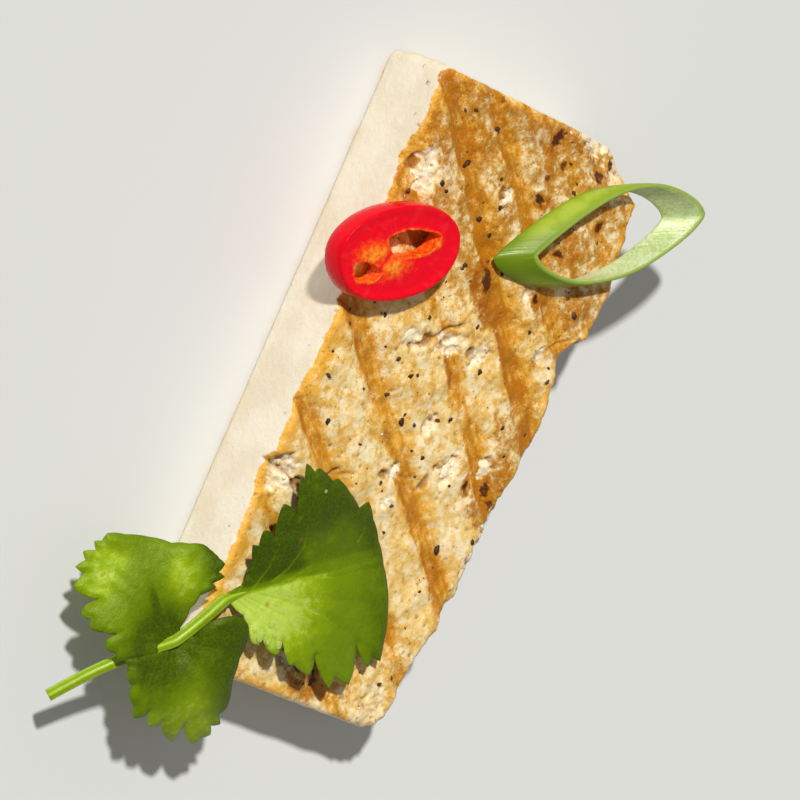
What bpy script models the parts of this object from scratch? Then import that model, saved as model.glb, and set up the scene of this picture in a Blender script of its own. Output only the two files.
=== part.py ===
"""Garnished slice of grilled firm tofu.

Four pieces lie together: the hand-cut slab, a bias-cut chilli ring, a coriander sprig and a bias-cut loop of
spring onion. Metres, +Z up, with the origin at the middle of the slab's flat underside. The slab's long side
runs along X, its smooth pressed side faces -Y and its torn side faces +Y.
"""

import math

import bmesh
import bpy
import numpy as np
from mathutils import Matrix, Vector

# The slab
HALF_LENGTH = 0.054
FRONT_Y = -0.025
THICKNESS = 0.0152
TAPER = 0.020  # the slice is cut a little wedge-shaped: this much thinner for each metre towards +X
BACK_EDGE = (  # the torn side's upper edge, as (x, y)
    (-0.054, 0.0225),
    (-0.046, 0.0258),
    (-0.030, 0.0284),
    (-0.0222, 0.0282),
    (-0.0182, 0.0246),
    (-0.003, 0.0268),
    (0.009, 0.0250),
    (0.024, 0.0262),
    (0.042, 0.0222),
    (0.054, 0.0214),
)
CORNER_RADII = {(-1, -1): 0.0020, (1, -1): 0.0045, (-1, 1): 0.0060, (1, 1): 0.0040}
WALL_RINGS = (  # (inset from the outline, drop below the top or height above the base)
    (0.0009, ("below_top", 0.0)),
    (0.0002, ("below_top", 0.0004)),
    (0.0, ("below_top", 0.0012)),
    (-0.0004, ("above_base", 0.0060)),
    (0.0002, ("above_base", 0.0010)),
    (0.0010, ("above_base", 0.0)),
)
TORN_FLARE = 0.0016  # how far the torn side's foot stands out past its upper edge
GRID = (50, 24)

# Bars pressed in by the grill pan's ridges
BAR_ANGLE = math.radians(46.0)
BAR_SPACING = 0.0117
BAR_WIDTH = 0.0042
BAR_DEPTH = 0.0006
BAR_PHASE = 0.0064

# Places where the browned skin has broken away: (x, y, radius along x, radius along y, depth)
CHIPS = (
    (-0.0370, -0.0245, 0.0045, 0.0032, 0.0012),
    (0.0195, -0.0245, 0.0035, 0.0040, 0.0013),
    (-0.0545, 0.0200, 0.0085, 0.0100, 0.0042),
    (-0.0190, 0.0280, 0.0030, 0.0035, 0.0020),
    (0.0260, 0.0270, 0.0140, 0.0040, 0.0018),
)

# Height of whatever lies on the slab above the slab's level, clear of the bumps of its skin
REST = 0.0006

# The chilli ring, a slanting cut through the pod with two seed chambers
CHILLI_CENTRE = (-0.0222, -0.0218)
CHILLI_TURN = math.radians(117.5)
CHILLI_HALF = (0.0122, 0.0080)
CHILLI_THICKNESS = 0.0036
CHILLI_LEAN = 0.0008  # how far the upper cut stands along from the lower
CHILLI_BULGE = 0.0004
CHILLI_LEVELS = (0.0, 0.35, 0.65, 1.0)
CHILLI_STEPS = 52
CHAMBER_STEPS = 22
CHAMBERS = (  # (centre along, centre across, half along, half across, turn)
    (0.0031, 0.0013, 0.0052, 0.0024, math.radians(-4)),
    (-0.0062, -0.0024, 0.0029, 0.0017, math.radians(-18)),
)

# The spring onion loop: two parallel oval cuts, the upper one slid along the leaf
ONION_TIP = (-0.0283, 0.0010)
ONION_TURN = math.radians(121.6)
ONION_LENGTH = 0.0352
ONION_SIDES = ((0.0074, 1.36, 0.68), (0.0071, 0.87, 0.72))  # (half width, skew, fullness) left and right
ONION_SLIDE = 0.0066
ONION_HEIGHT = 0.0034
ONION_WALL = 0.0008
ONION_STEPS = 60

# The coriander sprig
JUNCTION = (0.0515, -0.0290)
STEM_TURN = math.radians(-43.0)
STEM_LENGTH = 0.0220
STEM_BEND = 0.0012  # how far the stem's middle stands off the straight line between its ends
STEM_RADIUS = 0.00105
PETIOLE_TURN = math.radians(148.0)
PETIOLE_LENGTH = 0.0115
PETIOLE_RADIUS = 0.00090
RIB_LENGTH = 0.0060  # how far the petiole runs on into the terminal leaflet as its midrib
RIB_RADIUS = 0.00035
BLADE_THICKNESS = 0.0005
BLADE_LIFT = 0.0012  # a blade's middle surface above the slab's level, where it is lowest
BLADE_ARCH = 0.0022
BLADE_RIPPLE = 0.0003
BLADE_START = 0.06  # share of a leaflet's length from its base to the first of its rings
DROOP = 24.0  # how fast the sprig falls past the slab's edge at first, per metre
DROOP_EASE = 0.020  # the distance past the edge by which that has halved
LEAFLETS = {  # name: (base from the junction, axis, length, half spread, fold)
    "terminal": (PETIOLE_LENGTH, math.radians(122), 0.0300, math.radians(55), 0.30),
    "front": (0.0, math.radians(-134), 0.0200, math.radians(60), 0.22),
    "end": (0.0, math.radians(46), 0.0205, math.radians(54), 0.22),
}
LEAF_RAYS = 40
LEAF_RINGS = 6
TEETH = 13
TOOTH_DEPTH = 0.085
SIDE_TOOTH_DEPTH = 0.045
LOBE_NOTCHES = (0.42, 0.06, 0.15)  # (place on each side of the midrib, width, depth), as shares


def clear_scene():
    """Removes whatever the file holds."""
    for thing in list(bpy.data.objects):
        bpy.data.objects.remove(thing)


def material(name, colour, roughness, metallic=0.0):
    """A Principled material of one colour."""
    made = bpy.data.materials.new(name)
    made.use_nodes = True
    shader = made.node_tree.nodes["Principled BSDF"]
    shader.inputs["Base Color"].default_value = (*colour, 1.0)
    shader.inputs["Roughness"].default_value = roughness
    shader.inputs["Metallic"].default_value = metallic
    made.diffuse_color = (*colour, 1.0)
    return made


def link(name, mesh, finish):
    """Puts a mesh in the scene as a named object with its material, shaded smooth away from its sharp edges."""
    thing = bpy.data.objects.new(name, mesh)
    bpy.context.scene.collection.objects.link(thing)
    if finish:
        mesh.materials.append(finish)
    mesh.shade_smooth()
    mesh.set_sharp_from_angle(angle=math.radians(40))
    return thing


def mesh_from(bm, name):
    """Turns a bmesh into a mesh with its faces pointing out."""
    bmesh.ops.recalc_face_normals(bm, faces=bm.faces)
    mesh = bpy.data.meshes.new(name)
    bm.to_mesh(mesh)
    bm.free()
    return mesh


def guide(thing):
    """Marks an object as a cutter or joiner that isn't a piece of its own."""
    thing.hide_render = True
    thing.display_type = "WIRE"
    return thing


def boolean(thing, other, operation):
    """Adds a Boolean of another object to an object."""
    step = thing.modifiers.new(other.name, "BOOLEAN")
    step.operation = operation
    step.object = other


# ---------------------------------------------------------------- the slab


def eased(points, x):
    """Height of a curve that passes level through each (x, y) point."""
    xs, ys = zip(*points)
    if x <= xs[0]:
        return ys[0]
    if x >= xs[-1]:
        return ys[-1]
    i = int(np.searchsorted(xs, x)) - 1
    i = max(i, 0)
    share = (x - xs[i]) / (xs[i + 1] - xs[i])
    share = (1 - math.cos(math.pi * share)) / 2
    return ys[i] + (ys[i + 1] - ys[i]) * share


def top_plane(x):
    """Level of the slab's top before bars and chips are taken out of it."""
    return THICKNESS - TAPER * x


def bar_dip(x, y):
    """Depth of the nearest grill bar at a place on the top."""
    across = -x * math.sin(BAR_ANGLE) + y * math.cos(BAR_ANGLE) - BAR_PHASE
    off = across - BAR_SPACING * round(across / BAR_SPACING)
    return BAR_DEPTH * math.exp(-((off / (BAR_WIDTH / 2)) ** 4))


def chip_dip(x, y):
    """Depth of the chips at a place on the top."""
    depth = 0.0
    for cx, cy, rx, ry, deep in CHIPS:
        reach = ((x - cx) / rx) ** 2 + ((y - cy) / ry) ** 2
        if reach < 1:
            depth = max(depth, deep * math.sqrt(1 - reach))
    return depth


def top_height(x, y):
    """Height of the slab's top at a place."""
    return top_plane(x) - bar_dip(x, y) - chip_dip(x, y)


def plan_point(u, v, inset):
    """Place in plan of grid position u, v, each from -1 to 1, with the outline drawn in by inset."""
    x = (HALF_LENGTH - inset) * u
    front = FRONT_Y + inset
    back = eased(BACK_EDGE, x) - inset
    y = front + (back - front) * (v + 1) / 2
    for (sx, sy), radius in CORNER_RADII.items():
        corner_y = back if sy > 0 else front
        a = (sx * x - (HALF_LENGTH - inset - radius)) / radius
        b = (sy * y - (sy * corner_y - radius)) / radius
        if a > 0 and b > 0:
            a, b = min(a, 1), min(b, 1)
            rounded_a, rounded_b = (
                a * math.sqrt(1 - b * b / 2),
                b * math.sqrt(1 - a * a / 2),
            )
            x += sx * radius * (rounded_a - a)
            y += sy * radius * (rounded_b - b)
    return x, y


def slab_point(u, v, ring):
    """A point of the slab: of its top if ring is 0, or on that ring of its wall."""
    inset, (measured_from, amount) = WALL_RINGS[ring]
    x, y = plan_point(u, v, inset)
    top = top_height(x, y)
    z = top - amount if measured_from == "below_top" else amount
    if ring and v == 1:
        y += TORN_FLARE * (1 - z / top) * math.cos(math.pi * u / 2)
    return x, y, z


def make_slab(finish):
    """The slab: a grid for its top, rings of wall below it and one flat face underneath."""
    bm = bmesh.new()
    bmesh.ops.create_grid(bm, x_segments=GRID[0], y_segments=GRID[1], size=1.0)
    edge = [e for e in bm.edges if e.is_boundary]
    for _ in WALL_RINGS[1:]:
        grown = bmesh.ops.extrude_edge_only(bm, edges=edge)["geom"]
        moved = [g for g in grown if isinstance(g, bmesh.types.BMVert)]
        bmesh.ops.translate(bm, verts=moved, vec=(0, 0, -1))
        edge = [
            g
            for g in grown
            if isinstance(g, bmesh.types.BMEdge)
            and g.verts[0] in moved
            and g.verts[1] in moved
        ]
    bmesh.ops.contextual_create(bm, geom=edge)
    for vert in bm.verts:
        u, v, ring = vert.co.x, vert.co.y, round(-vert.co.z)
        vert.co = slab_point(u, v, ring)
    link("tofu_slab", mesh_from(bm, "tofu_slab"), finish)


# ---------------------------------------------------------------- the chilli ring


def lofted(outlines, name):
    """A closed body through a stack of outlines that have the same number of points."""
    bm = bmesh.new()
    rings = [[bm.verts.new(point) for point in outline] for outline in outlines]
    for low, high in zip(rings, rings[1:]):
        for i in range(len(low)):
            j = (i + 1) % len(low)
            bm.faces.new((low[i], low[j], high[j], high[i]))
    bm.faces.new(rings[-1])
    bm.faces.new(reversed(rings[0]))
    return mesh_from(bm, name)


def oval(half, z, steps, centre, turn=0.0, squareness=2.0, wobble=0.0):
    """Points round an oval at height z. Squareness over 2 fills its corners out. Wobble makes it uneven."""
    points = []
    for i in range(steps):
        a = 2 * math.pi * i / steps
        reach = (abs(math.cos(a)) ** squareness + abs(math.sin(a)) ** squareness) ** (-1 / squareness)
        reach *= 1 + wobble * (math.sin(3 * a + 0.7) + 0.6 * math.sin(5 * a))
        along = half[0] * reach * math.cos(a)
        across = half[1] * reach * math.sin(a)
        x = centre[0] + along * math.cos(turn) - across * math.sin(turn)
        y = centre[1] + along * math.sin(turn) + across * math.cos(turn)
        points.append((x, y, z))
    return points


def make_chilli(finish):
    """The chilli ring, lying on the slab's top with its lower end past the front edge."""
    outlines = []
    for level in CHILLI_LEVELS:
        bulge = CHILLI_BULGE * math.sin(math.pi * level)
        half = (CHILLI_HALF[0] + bulge, CHILLI_HALF[1] + bulge)
        centre = (CHILLI_LEAN * (level - 0.5), 0.0)
        z = CHILLI_THICKNESS * level
        outlines.append(oval(half, z, CHILLI_STEPS, centre, squareness=2.15, wobble=0.008))
    seat = Matrix.Translation((*CHILLI_CENTRE, top_plane(CHILLI_CENTRE[0]) + REST))
    seat = seat @ Matrix.Rotation(math.atan(TAPER), 4, "Y") @ Matrix.Rotation(CHILLI_TURN, 4, "Z")
    ring = link("chilli_ring", lofted(outlines, "chilli_ring"), finish)
    ring.matrix_world = seat
    for number, (along, across, half_along, half_across, turn) in enumerate(CHAMBERS):
        half = (half_along, half_across)
        walls = [
            oval(half, z, CHAMBER_STEPS, (along, across), turn, squareness=2.4, wobble=0.06)
            for z in (-CHILLI_THICKNESS, 2 * CHILLI_THICKNESS)
        ]
        name = f"chilli_chamber_{number}"
        chamber = guide(link(name, lofted(walls, name), None))
        chamber.matrix_world = seat
        boolean(ring, chamber, "DIFFERENCE")


# ---------------------------------------------------------------- the spring onion loop


def loop_point(share):
    """A point of the loop's inner outline, share 0 to 1 round it from the near tip."""
    a = 2 * math.pi * share
    along = (1 - math.cos(a)) / 2
    half_width, skew, fullness = ONION_SIDES[0] if a < math.pi else ONION_SIDES[1]
    across = half_width * max(0.0, math.sin(math.pi * along**skew)) ** fullness
    return Vector((ONION_LENGTH * along, across if a < math.pi else -across))


def loop_outline(wall):
    """The loop's outline moved out by wall."""
    inner = [loop_point(i / ONION_STEPS) for i in range(ONION_STEPS)]
    outline = []
    for i, point in enumerate(inner):
        run = inner[(i + 1) % ONION_STEPS] - inner[i - 1]
        outline.append(point + wall * Vector((-run.y, run.x)).normalized())
    return outline


def make_onion(finish):
    """The loop: a thin wall that leans along the leaf it was cut from."""
    bm = bmesh.new()
    bulge = 1.3 * ONION_WALL
    profile = ((0.0, 0.0), (ONION_WALL, 0.0), (bulge, 0.5), (ONION_WALL, 1.0), (0.0, 1.0), (0.0, 0.5))
    rings = []
    for wall, level in profile:
        slide, height = ONION_SLIDE * level, ONION_HEIGHT * level
        rings.append([bm.verts.new((at.x + slide, at.y, height)) for at in loop_outline(wall)])
    rows = list(zip(*rings))
    for i, row in enumerate(rows):
        following = rows[(i + 1) % len(rows)]
        for j in range(len(row)):
            k = (j + 1) % len(row)
            bm.faces.new((row[j], row[k], following[k], following[j]))
    loop = link("spring_onion_loop", mesh_from(bm, "spring_onion_loop"), finish)
    seat = Matrix.Translation((*ONION_TIP, top_plane(ONION_TIP[0]) + REST))
    lean = Matrix.Rotation(math.atan(TAPER), 4, "Y")
    loop.matrix_world = seat @ lean @ Matrix.Rotation(ONION_TURN, 4, "Z")


# ---------------------------------------------------------------- the coriander sprig


def drape(x, y):
    """Height of the surface that the sprig follows: level over the slab, falling away past its edges."""
    past_end = max(0.0, x - (HALF_LENGTH - 0.001))
    past_front = max(0.0, (FRONT_Y + 0.001) - y)
    past = math.hypot(past_end, past_front)
    return top_plane(min(x, HALF_LENGTH)) - DROOP * past * past / (1 + past / DROOP_EASE)


def saw(at):
    """A saw's edge, 0 at its tips and 1 in its notches, one tooth for each unit."""
    return abs(2 * (at - math.floor(at)) - 1)


def leaf_reach(ray):
    """Length of a three-lobed leaflet along a ray, -1 to 1 across it, as a share of its whole length."""
    place, width, depth = LOBE_NOTCHES
    rounded = 1 - 0.10 * ray**2 - 0.9 * max(0.0, abs(ray) - 0.8)
    lobed = 1 - depth * math.exp(-(((abs(ray) - place) / width) ** 2))
    toothed = 1 - TOOTH_DEPTH * saw((ray + 1) / 2 * TEETH)
    return rounded * lobed * toothed


def blade_point(base, axis, length, spread, fold, share, ray):
    """A point of a leaflet's middle surface: share 0 to 1 out from its base, ray -1 to 1 across its spread."""
    side_teeth = SIDE_TOOTH_DEPTH * ray**4 * saw(3 * share + 0.4)
    angle = ray * spread * (1 - side_teeth)
    reach = share * length * leaf_reach(ray)
    x = base[0] + reach * math.cos(axis + angle)
    y = base[1] + reach * math.sin(axis + angle)
    raised = fold * reach * abs(math.sin(angle)) ** 1.3 * (1 - 0.55 * share)
    arch = BLADE_ARCH * math.sin(math.pi * share) ** 1.5
    ripple = BLADE_RIPPLE * share**2 * (1 + math.sin(9 * angle + 2 * share + axis))
    return x, y, drape(x, y) + BLADE_LIFT + raised + arch + ripple


def make_blade(name, base, axis, length, spread, fold):
    """One leaflet: a grid of rays and rings, with an upper and a lower skin."""
    bm = bmesh.new()
    shares = [BLADE_START + (1 - BLADE_START) * j / LEAF_RINGS for j in range(LEAF_RINGS + 1)]
    rays = [2 * i / LEAF_RAYS - 1 for i in range(LEAF_RAYS + 1)]
    middle = [
        [Vector(blade_point(base, axis, length, spread, fold, share, ray)) for share in shares]
        for ray in rays
    ]
    half = Vector((0, 0, BLADE_THICKNESS / 2))
    upper, lower = ([[bm.verts.new(at + side * half) for at in ray] for ray in middle] for side in (1, -1))
    for skin in (upper, lower):
        for one, other in zip(skin, skin[1:]):
            for j in range(LEAF_RINGS):
                bm.faces.new((one[j], one[j + 1], other[j + 1], other[j]))
    rim = [(i, 0) for i in range(LEAF_RAYS)]
    rim += [(LEAF_RAYS, j) for j in range(LEAF_RINGS)]
    rim += [(LEAF_RAYS - i, LEAF_RINGS) for i in range(LEAF_RAYS)]
    rim += [(0, LEAF_RINGS - j) for j in range(LEAF_RINGS)]
    for (i, j), (k, m) in zip(rim, rim[1:] + rim[:1]):
        bm.faces.new((upper[i][j], upper[k][m], lower[k][m], lower[i][j]))
    return guide(link(name, mesh_from(bm, name), None))


def tube(path, radii, name, sides=10):
    """A closed round tube along a path, with a radius for each of its points."""
    turns = [2 * math.pi * side / sides for side in range(sides)]
    outlines = []
    for i, (point, radius) in enumerate(zip(path, radii)):
        ahead = path[min(i + 1, len(path) - 1)] - path[max(i - 1, 0)]
        across = ahead.cross(Vector((0, 0, 1))).normalized()
        upright = across.cross(ahead).normalized()
        outlines.append([point + radius * (math.cos(a) * across + math.sin(a) * upright) for a in turns])
    return lofted(outlines, name)


def leaflet_base(name):
    """Place in plan where a leaflet joins the sprig."""
    along = LEAFLETS[name][0]
    return JUNCTION[0] + along * math.cos(PETIOLE_TURN), JUNCTION[1] + along * math.sin(PETIOLE_TURN)


def stem_path():
    """Middle line of the stem, from its cut end through the junction and the petiole to the midrib's end."""
    path, radii = [], []
    for i in range(11):
        run = STEM_LENGTH * (1 - i / 10)
        sideways = STEM_BEND * math.sin(math.pi * run / STEM_LENGTH)
        x = JUNCTION[0] + run * math.cos(STEM_TURN) + sideways * math.sin(STEM_TURN)
        y = JUNCTION[1] + run * math.sin(STEM_TURN) - sideways * math.cos(STEM_TURN)
        path.append(Vector((x, y, drape(x, y) + REST + STEM_RADIUS)))
        radii.append(STEM_RADIUS)
    for i in range(1, 6):
        run = PETIOLE_LENGTH * i / 5
        x = JUNCTION[0] + run * math.cos(PETIOLE_TURN)
        y = JUNCTION[1] + run * math.sin(PETIOLE_TURN)
        radii.append(STEM_RADIUS + (PETIOLE_RADIUS - STEM_RADIUS) * i / 5)
        path.append(Vector((x, y, drape(x, y) + REST + radii[-1])))
    _, axis, length, spread, fold = LEAFLETS["terminal"]
    for i in range(1, 5):
        share = RIB_LENGTH / length * i / 4
        path.append(Vector(blade_point(leaflet_base("terminal"), axis, length, spread, fold, share, 0.0)))
        radii.append(PETIOLE_RADIUS + (RIB_RADIUS - PETIOLE_RADIUS) * i / 4)
    return path, radii


def make_coriander(finish):
    """The sprig: a stem with a petiole in line with it, and three leaflets joined to them."""
    path, radii = stem_path()
    sprig = link("coriander_sprig", tube(path, radii, "coriander_sprig"), finish)
    for name, (_, axis, length, spread, fold) in LEAFLETS.items():
        blade = make_blade(f"leaflet_{name}", leaflet_base(name), axis, length, spread, fold)
        boolean(sprig, blade, "UNION")


def main():
    """Builds the four pieces."""
    clear_scene()
    make_slab(material("grilled_tofu", (0.80, 0.58, 0.30), 0.55))
    make_chilli(material("red_chilli", (0.72, 0.01, 0.02), 0.25))
    make_onion(material("spring_onion", (0.40, 0.52, 0.08), 0.35))
    make_coriander(material("coriander_leaf", (0.16, 0.30, 0.01), 0.40))


main()
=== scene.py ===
"""Looks of a garnished slice of grilled firm tofu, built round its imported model.

The slab is a dense mesh that is pressed, torn and pitted in code. A chilli ring, a spring onion loop and a
coriander sprig lie on it, with ground pepper, crumbs of curd and a few drops of water. Everything is in metres
and in the model's own frame: x along the slab, y from its smooth side towards its torn side, z up.
"""

import logging
import math
from dataclasses import dataclass, field, replace
from enum import Enum

import bpy
import numpy as np
from mathutils import Matrix, Vector
from mathutils.geometry import delaunay_2d_cdt

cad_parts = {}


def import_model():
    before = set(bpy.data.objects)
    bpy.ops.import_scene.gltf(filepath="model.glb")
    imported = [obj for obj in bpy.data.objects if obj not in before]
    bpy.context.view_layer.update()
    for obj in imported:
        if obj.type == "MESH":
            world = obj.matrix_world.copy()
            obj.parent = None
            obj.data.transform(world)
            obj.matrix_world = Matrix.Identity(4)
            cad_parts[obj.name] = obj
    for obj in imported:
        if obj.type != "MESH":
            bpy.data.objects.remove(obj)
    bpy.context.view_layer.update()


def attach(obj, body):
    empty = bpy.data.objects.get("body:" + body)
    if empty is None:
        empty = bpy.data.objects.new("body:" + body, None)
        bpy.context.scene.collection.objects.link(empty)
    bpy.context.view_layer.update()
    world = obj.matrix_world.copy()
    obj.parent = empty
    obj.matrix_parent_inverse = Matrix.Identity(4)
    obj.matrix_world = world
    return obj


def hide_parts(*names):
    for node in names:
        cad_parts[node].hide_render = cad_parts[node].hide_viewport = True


MM = 0.001
LOG = logging.getLogger("tofu")
Rgba = tuple[float, float, float, float]
Pair = tuple[float, float]


# ---------------------------------------------------------------- numbers


def smooth(low: float, high: float, value: np.ndarray) -> np.ndarray:
    """Eases a value from 0 to 1.

    Args:
        low: Where the result is 0.
        high: Where the result is 1. It may be less than low.
        value: The numbers to ease.

    Returns:
        Numbers from 0 to 1.
    """
    share = np.clip((value - low) / (high - low), 0.0, 1.0)
    return share * share * (3 - 2 * share)


def stacked(x: np.ndarray, y: np.ndarray, z: np.ndarray | float = 0.0) -> np.ndarray:
    """Joins coordinates into rows of points."""
    return np.stack(np.broadcast_arrays(x, y, z), axis=-1).astype(float)


def shade(red: int, green: int, blue: int) -> Rgba:
    """Turns a screen colour into a linear one.

    Args:
        red: Red, 0 to 255.
        green: Green, 0 to 255.
        blue: Blue, 0 to 255.

    Returns:
        The linear colour, opaque.
    """
    parts = [channel / 255 for channel in (red, green, blue)]
    linear = [c / 12.92 if c <= 0.04045 else ((c + 0.055) / 1.055) ** 2.4 for c in parts]
    return (linear[0], linear[1], linear[2], 1.0)


@dataclass(frozen=True)
class Noise:
    """Seeded noise, sampled at many points at once."""

    seed: int

    def _random(self, cells: np.ndarray, channel: int) -> np.ndarray:
        """Gives each whole-number cell a random number.

        Args:
            cells: Rows of three whole numbers.
            channel: Which of a cell's random numbers is wanted.

        Returns:
            One number from 0 to 1 for each row.
        """
        whole = cells.astype(np.int64)
        mixed = (whole[..., 0] * 73856093) ^ (whole[..., 1] * 19349663) ^ (whole[..., 2] * 83492791)
        mixed = (mixed ^ (self.seed * 2654435761 + channel * 40503)) & 0xFFFFFFFF
        for _ in range(2):
            mixed = ((mixed ^ (mixed >> 16)) * 0x45D9F3B) & 0xFFFFFFFF
        return ((mixed ^ (mixed >> 16)) & 0xFFFFFF) / float(0xFFFFFF)

    def soft(self, at: np.ndarray, size: float) -> np.ndarray:
        """Samples rolling noise.

        Args:
            at: Rows of points.
            size: Rough width of one swell.

        Returns:
            Numbers from about -1 to 1.
        """
        scaled = at / size + 17.3
        base = np.floor(scaled)
        inside = scaled - base
        ease = inside**3 * (inside * (inside * 6 - 15) + 10)
        total = np.zeros(at.shape[:-1])
        for corner in np.ndindex(2, 2, 2):
            step = np.array(corner)
            turn = 2 * math.pi * self._random(base + step, 0)
            height = 2 * self._random(base + step, 1) - 1
            flat = np.sqrt(1 - height**2)
            offset = inside - step
            slope = flat * (np.cos(turn) * offset[..., 0] + np.sin(turn) * offset[..., 1]) + height * offset[..., 2]
            weight = np.prod(np.where(step, ease, 1 - ease), axis=-1)
            total += weight * slope
        return 1.6 * total

    def layered(self, at: np.ndarray, size: float, layers: int = 3, gain: float = 0.5) -> np.ndarray:
        """Sums soft noise of halving widths.

        Args:
            at: Rows of points.
            size: Width of the widest swell.
            layers: How many widths are summed.
            gain: Strength of each width against the one before.

        Returns:
            Numbers from about -1 to 1.
        """
        total, strength, whole = np.zeros(at.shape[:-1]), 1.0, 0.0
        for layer in range(layers):
            total += strength * self.soft(at + 31.7 * size * layer, size / 2**layer)
            whole += strength
            strength *= gain
        return total / whole * 1.3

    def cells(self, at: np.ndarray, size: float, flat: bool = False) -> tuple[np.ndarray, np.ndarray, np.ndarray]:
        """Samples scattered cells.

        Args:
            at: Rows of points.
            size: Rough width of a cell.
            flat: Whether only x and y count.

        Returns:
            Distances to the nearest and second nearest cell middle, in widths, and the nearest cell's random number.
        """
        scaled = at / size + 9.1
        base = np.floor(scaled)
        nearest = np.full(at.shape[:-1], 9.0)
        second = nearest.copy()
        number = np.zeros(at.shape[:-1])
        depth = (0,) if flat else (-1, 0, 1)
        for step in [np.array((i, j, k)) for i in (-1, 0, 1) for j in (-1, 0, 1) for k in depth]:
            cell = base + step
            middle = cell + 0.5 + 0.8 * (np.stack([self._random(cell, c) for c in (2, 3, 4)], axis=-1) - 0.5)
            gap = scaled - middle
            if flat:
                gap = gap[..., :2]
            distance = np.sqrt((gap**2).sum(axis=-1))
            closer = distance < nearest
            second = np.where(closer, nearest, np.minimum(second, distance))
            number = np.where(closer, self._random(cell, 5), number)
            nearest = np.where(closer, distance, nearest)
        return nearest, second, number


# ---------------------------------------------------------------- meshes


def new_mesh(name: str, points: np.ndarray, faces: list | np.ndarray) -> bpy.types.Object:
    """Makes a smooth-shaded mesh object.

    Args:
        name: The object's name.
        points: Rows of points.
        faces: Point numbers of each face.

    Returns:
        The object, linked to the scene.
    """
    mesh = bpy.data.meshes.new(name)
    mesh.from_pydata(np.asarray(points).tolist(), [], faces.tolist() if isinstance(faces, np.ndarray) else faces)
    mesh.shade_smooth()
    thing = bpy.data.objects.new(name, mesh)
    bpy.context.scene.collection.objects.link(thing)
    return thing


def mark(thing: bpy.types.Object, marks: dict[str, np.ndarray]) -> None:
    """Stores numbers on a mesh's points for its finish to read.

    Args:
        thing: The mesh object.
        marks: Numbers by name, one for each point.
    """
    for name, values in marks.items():
        store = thing.data.attributes.new(name, "FLOAT", "POINT")
        store.data.foreach_set("value", np.asarray(values, np.float32))


def normals(points: np.ndarray, quads: np.ndarray) -> np.ndarray:
    """Finds the way each point of a mesh of quads faces.

    Args:
        points: Rows of points.
        quads: Rows of four point numbers.

    Returns:
        Rows of unit normals.
    """
    corner = points[quads]
    facing = np.cross(corner[:, 2] - corner[:, 0], corner[:, 3] - corner[:, 1])
    total = np.zeros_like(points)
    for k in range(4):
        np.add.at(total, quads[:, k], facing)
    return total / np.maximum(np.linalg.norm(total, axis=1, keepdims=True), 1e-12)


def lidded_wall(cells: tuple[int, int, int]) -> tuple[np.ndarray, np.ndarray, np.ndarray]:
    """Divides the lid and the walls of a unit box evenly. Its bottom stays open.

    Args:
        cells: Number of divisions along each side.

    Returns:
        Points from 0 to 1 along each side, quads that face out, and the numbers of the points round the bottom.
    """
    nu, nv, nw = cells
    i, j = np.meshgrid(np.arange(nu + 1), np.arange(nv + 1), indexing="ij")
    number = i * (nv + 1) + j
    lid = np.stack([i / nu, j / nv, np.ones(i.shape)], axis=-1).reshape(-1, 3)
    quads = [np.stack([number[:-1, :-1], number[1:, :-1], number[1:, 1:], number[:-1, 1:]], axis=-1).reshape(-1, 4)]
    rim = np.concatenate([number[:-1, 0], number[-1, :-1], number[:0:-1, -1], number[0, :0:-1]])
    points, upper = [lid], rim
    for level in range(1, nw + 1):
        lower = len(lid) + (level - 1) * len(rim) + np.arange(len(rim))
        points.append(lid[rim] * (1, 1, 0) + (0, 0, 1 - level / nw))
        quads.append(np.stack([upper, lower, np.roll(lower, -1), np.roll(upper, -1)], axis=-1))
        upper = lower
    return np.concatenate(points), np.concatenate(quads), upper


def filled(ring: np.ndarray, inner: np.ndarray) -> np.ndarray:
    """Fills a closed outline with triangles.

    Args:
        ring: The outline's points in plan, anticlockwise.
        inner: More points in plan, inside it.

    Returns:
        Rows of three point numbers, the outline's first, facing up.
    """
    count = len(ring)
    loose = [Vector(p) for p in np.concatenate([ring, inner])]
    made = delaunay_2d_cdt(loose, [(i, (i + 1) % count) for i in range(count)], [], 1, 1e-9)
    back = [sources[0] if sources else -1 for sources in made[3]]
    return np.array([[back[i] for i in face] for face in made[2]])


def lofted(rings: list[np.ndarray], capped: bool = True) -> tuple[np.ndarray, list]:
    """Joins a stack of closed outlines that have the same number of points.

    Args:
        rings: The outlines, from the first end to the last.
        capped: Whether the two ends are closed.

    Returns:
        Points and faces.
    """
    count = len(rings[0])
    faces = []
    for level in range(len(rings) - 1):
        low, high = level * count, (level + 1) * count
        faces += [(low + i, low + (i + 1) % count, high + (i + 1) % count, high + i) for i in range(count)]
    if capped:
        faces += [tuple(range(count))[::-1], tuple(range((len(rings) - 1) * count, len(rings) * count))]
    return np.concatenate(rings), faces


def ball(divisions: int) -> tuple[np.ndarray, np.ndarray]:
    """Makes a round body of near-equal triangles.

    Args:
        divisions: How often an icosahedron's faces are split.

    Returns:
        Points of radius 1, and triangles.
    """
    mesh = bpy.data.meshes.new("ball")
    import bmesh

    bm = bmesh.new()
    bmesh.ops.create_icosphere(bm, subdivisions=divisions, radius=1.0)
    bm.to_mesh(mesh)
    bm.free()
    points = np.array([v.co for v in mesh.vertices])
    faces = np.array([tuple(p.vertices) for p in mesh.polygons])
    bpy.data.meshes.remove(mesh)
    return points, faces


# ---------------------------------------------------------------- finishes


class Blend(Enum):
    """How one colour is laid over another."""

    MIX = "MIX"
    MULTIPLY = "MULTIPLY"
    SCREEN = "SCREEN"
    OVERLAY = "OVERLAY"


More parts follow.
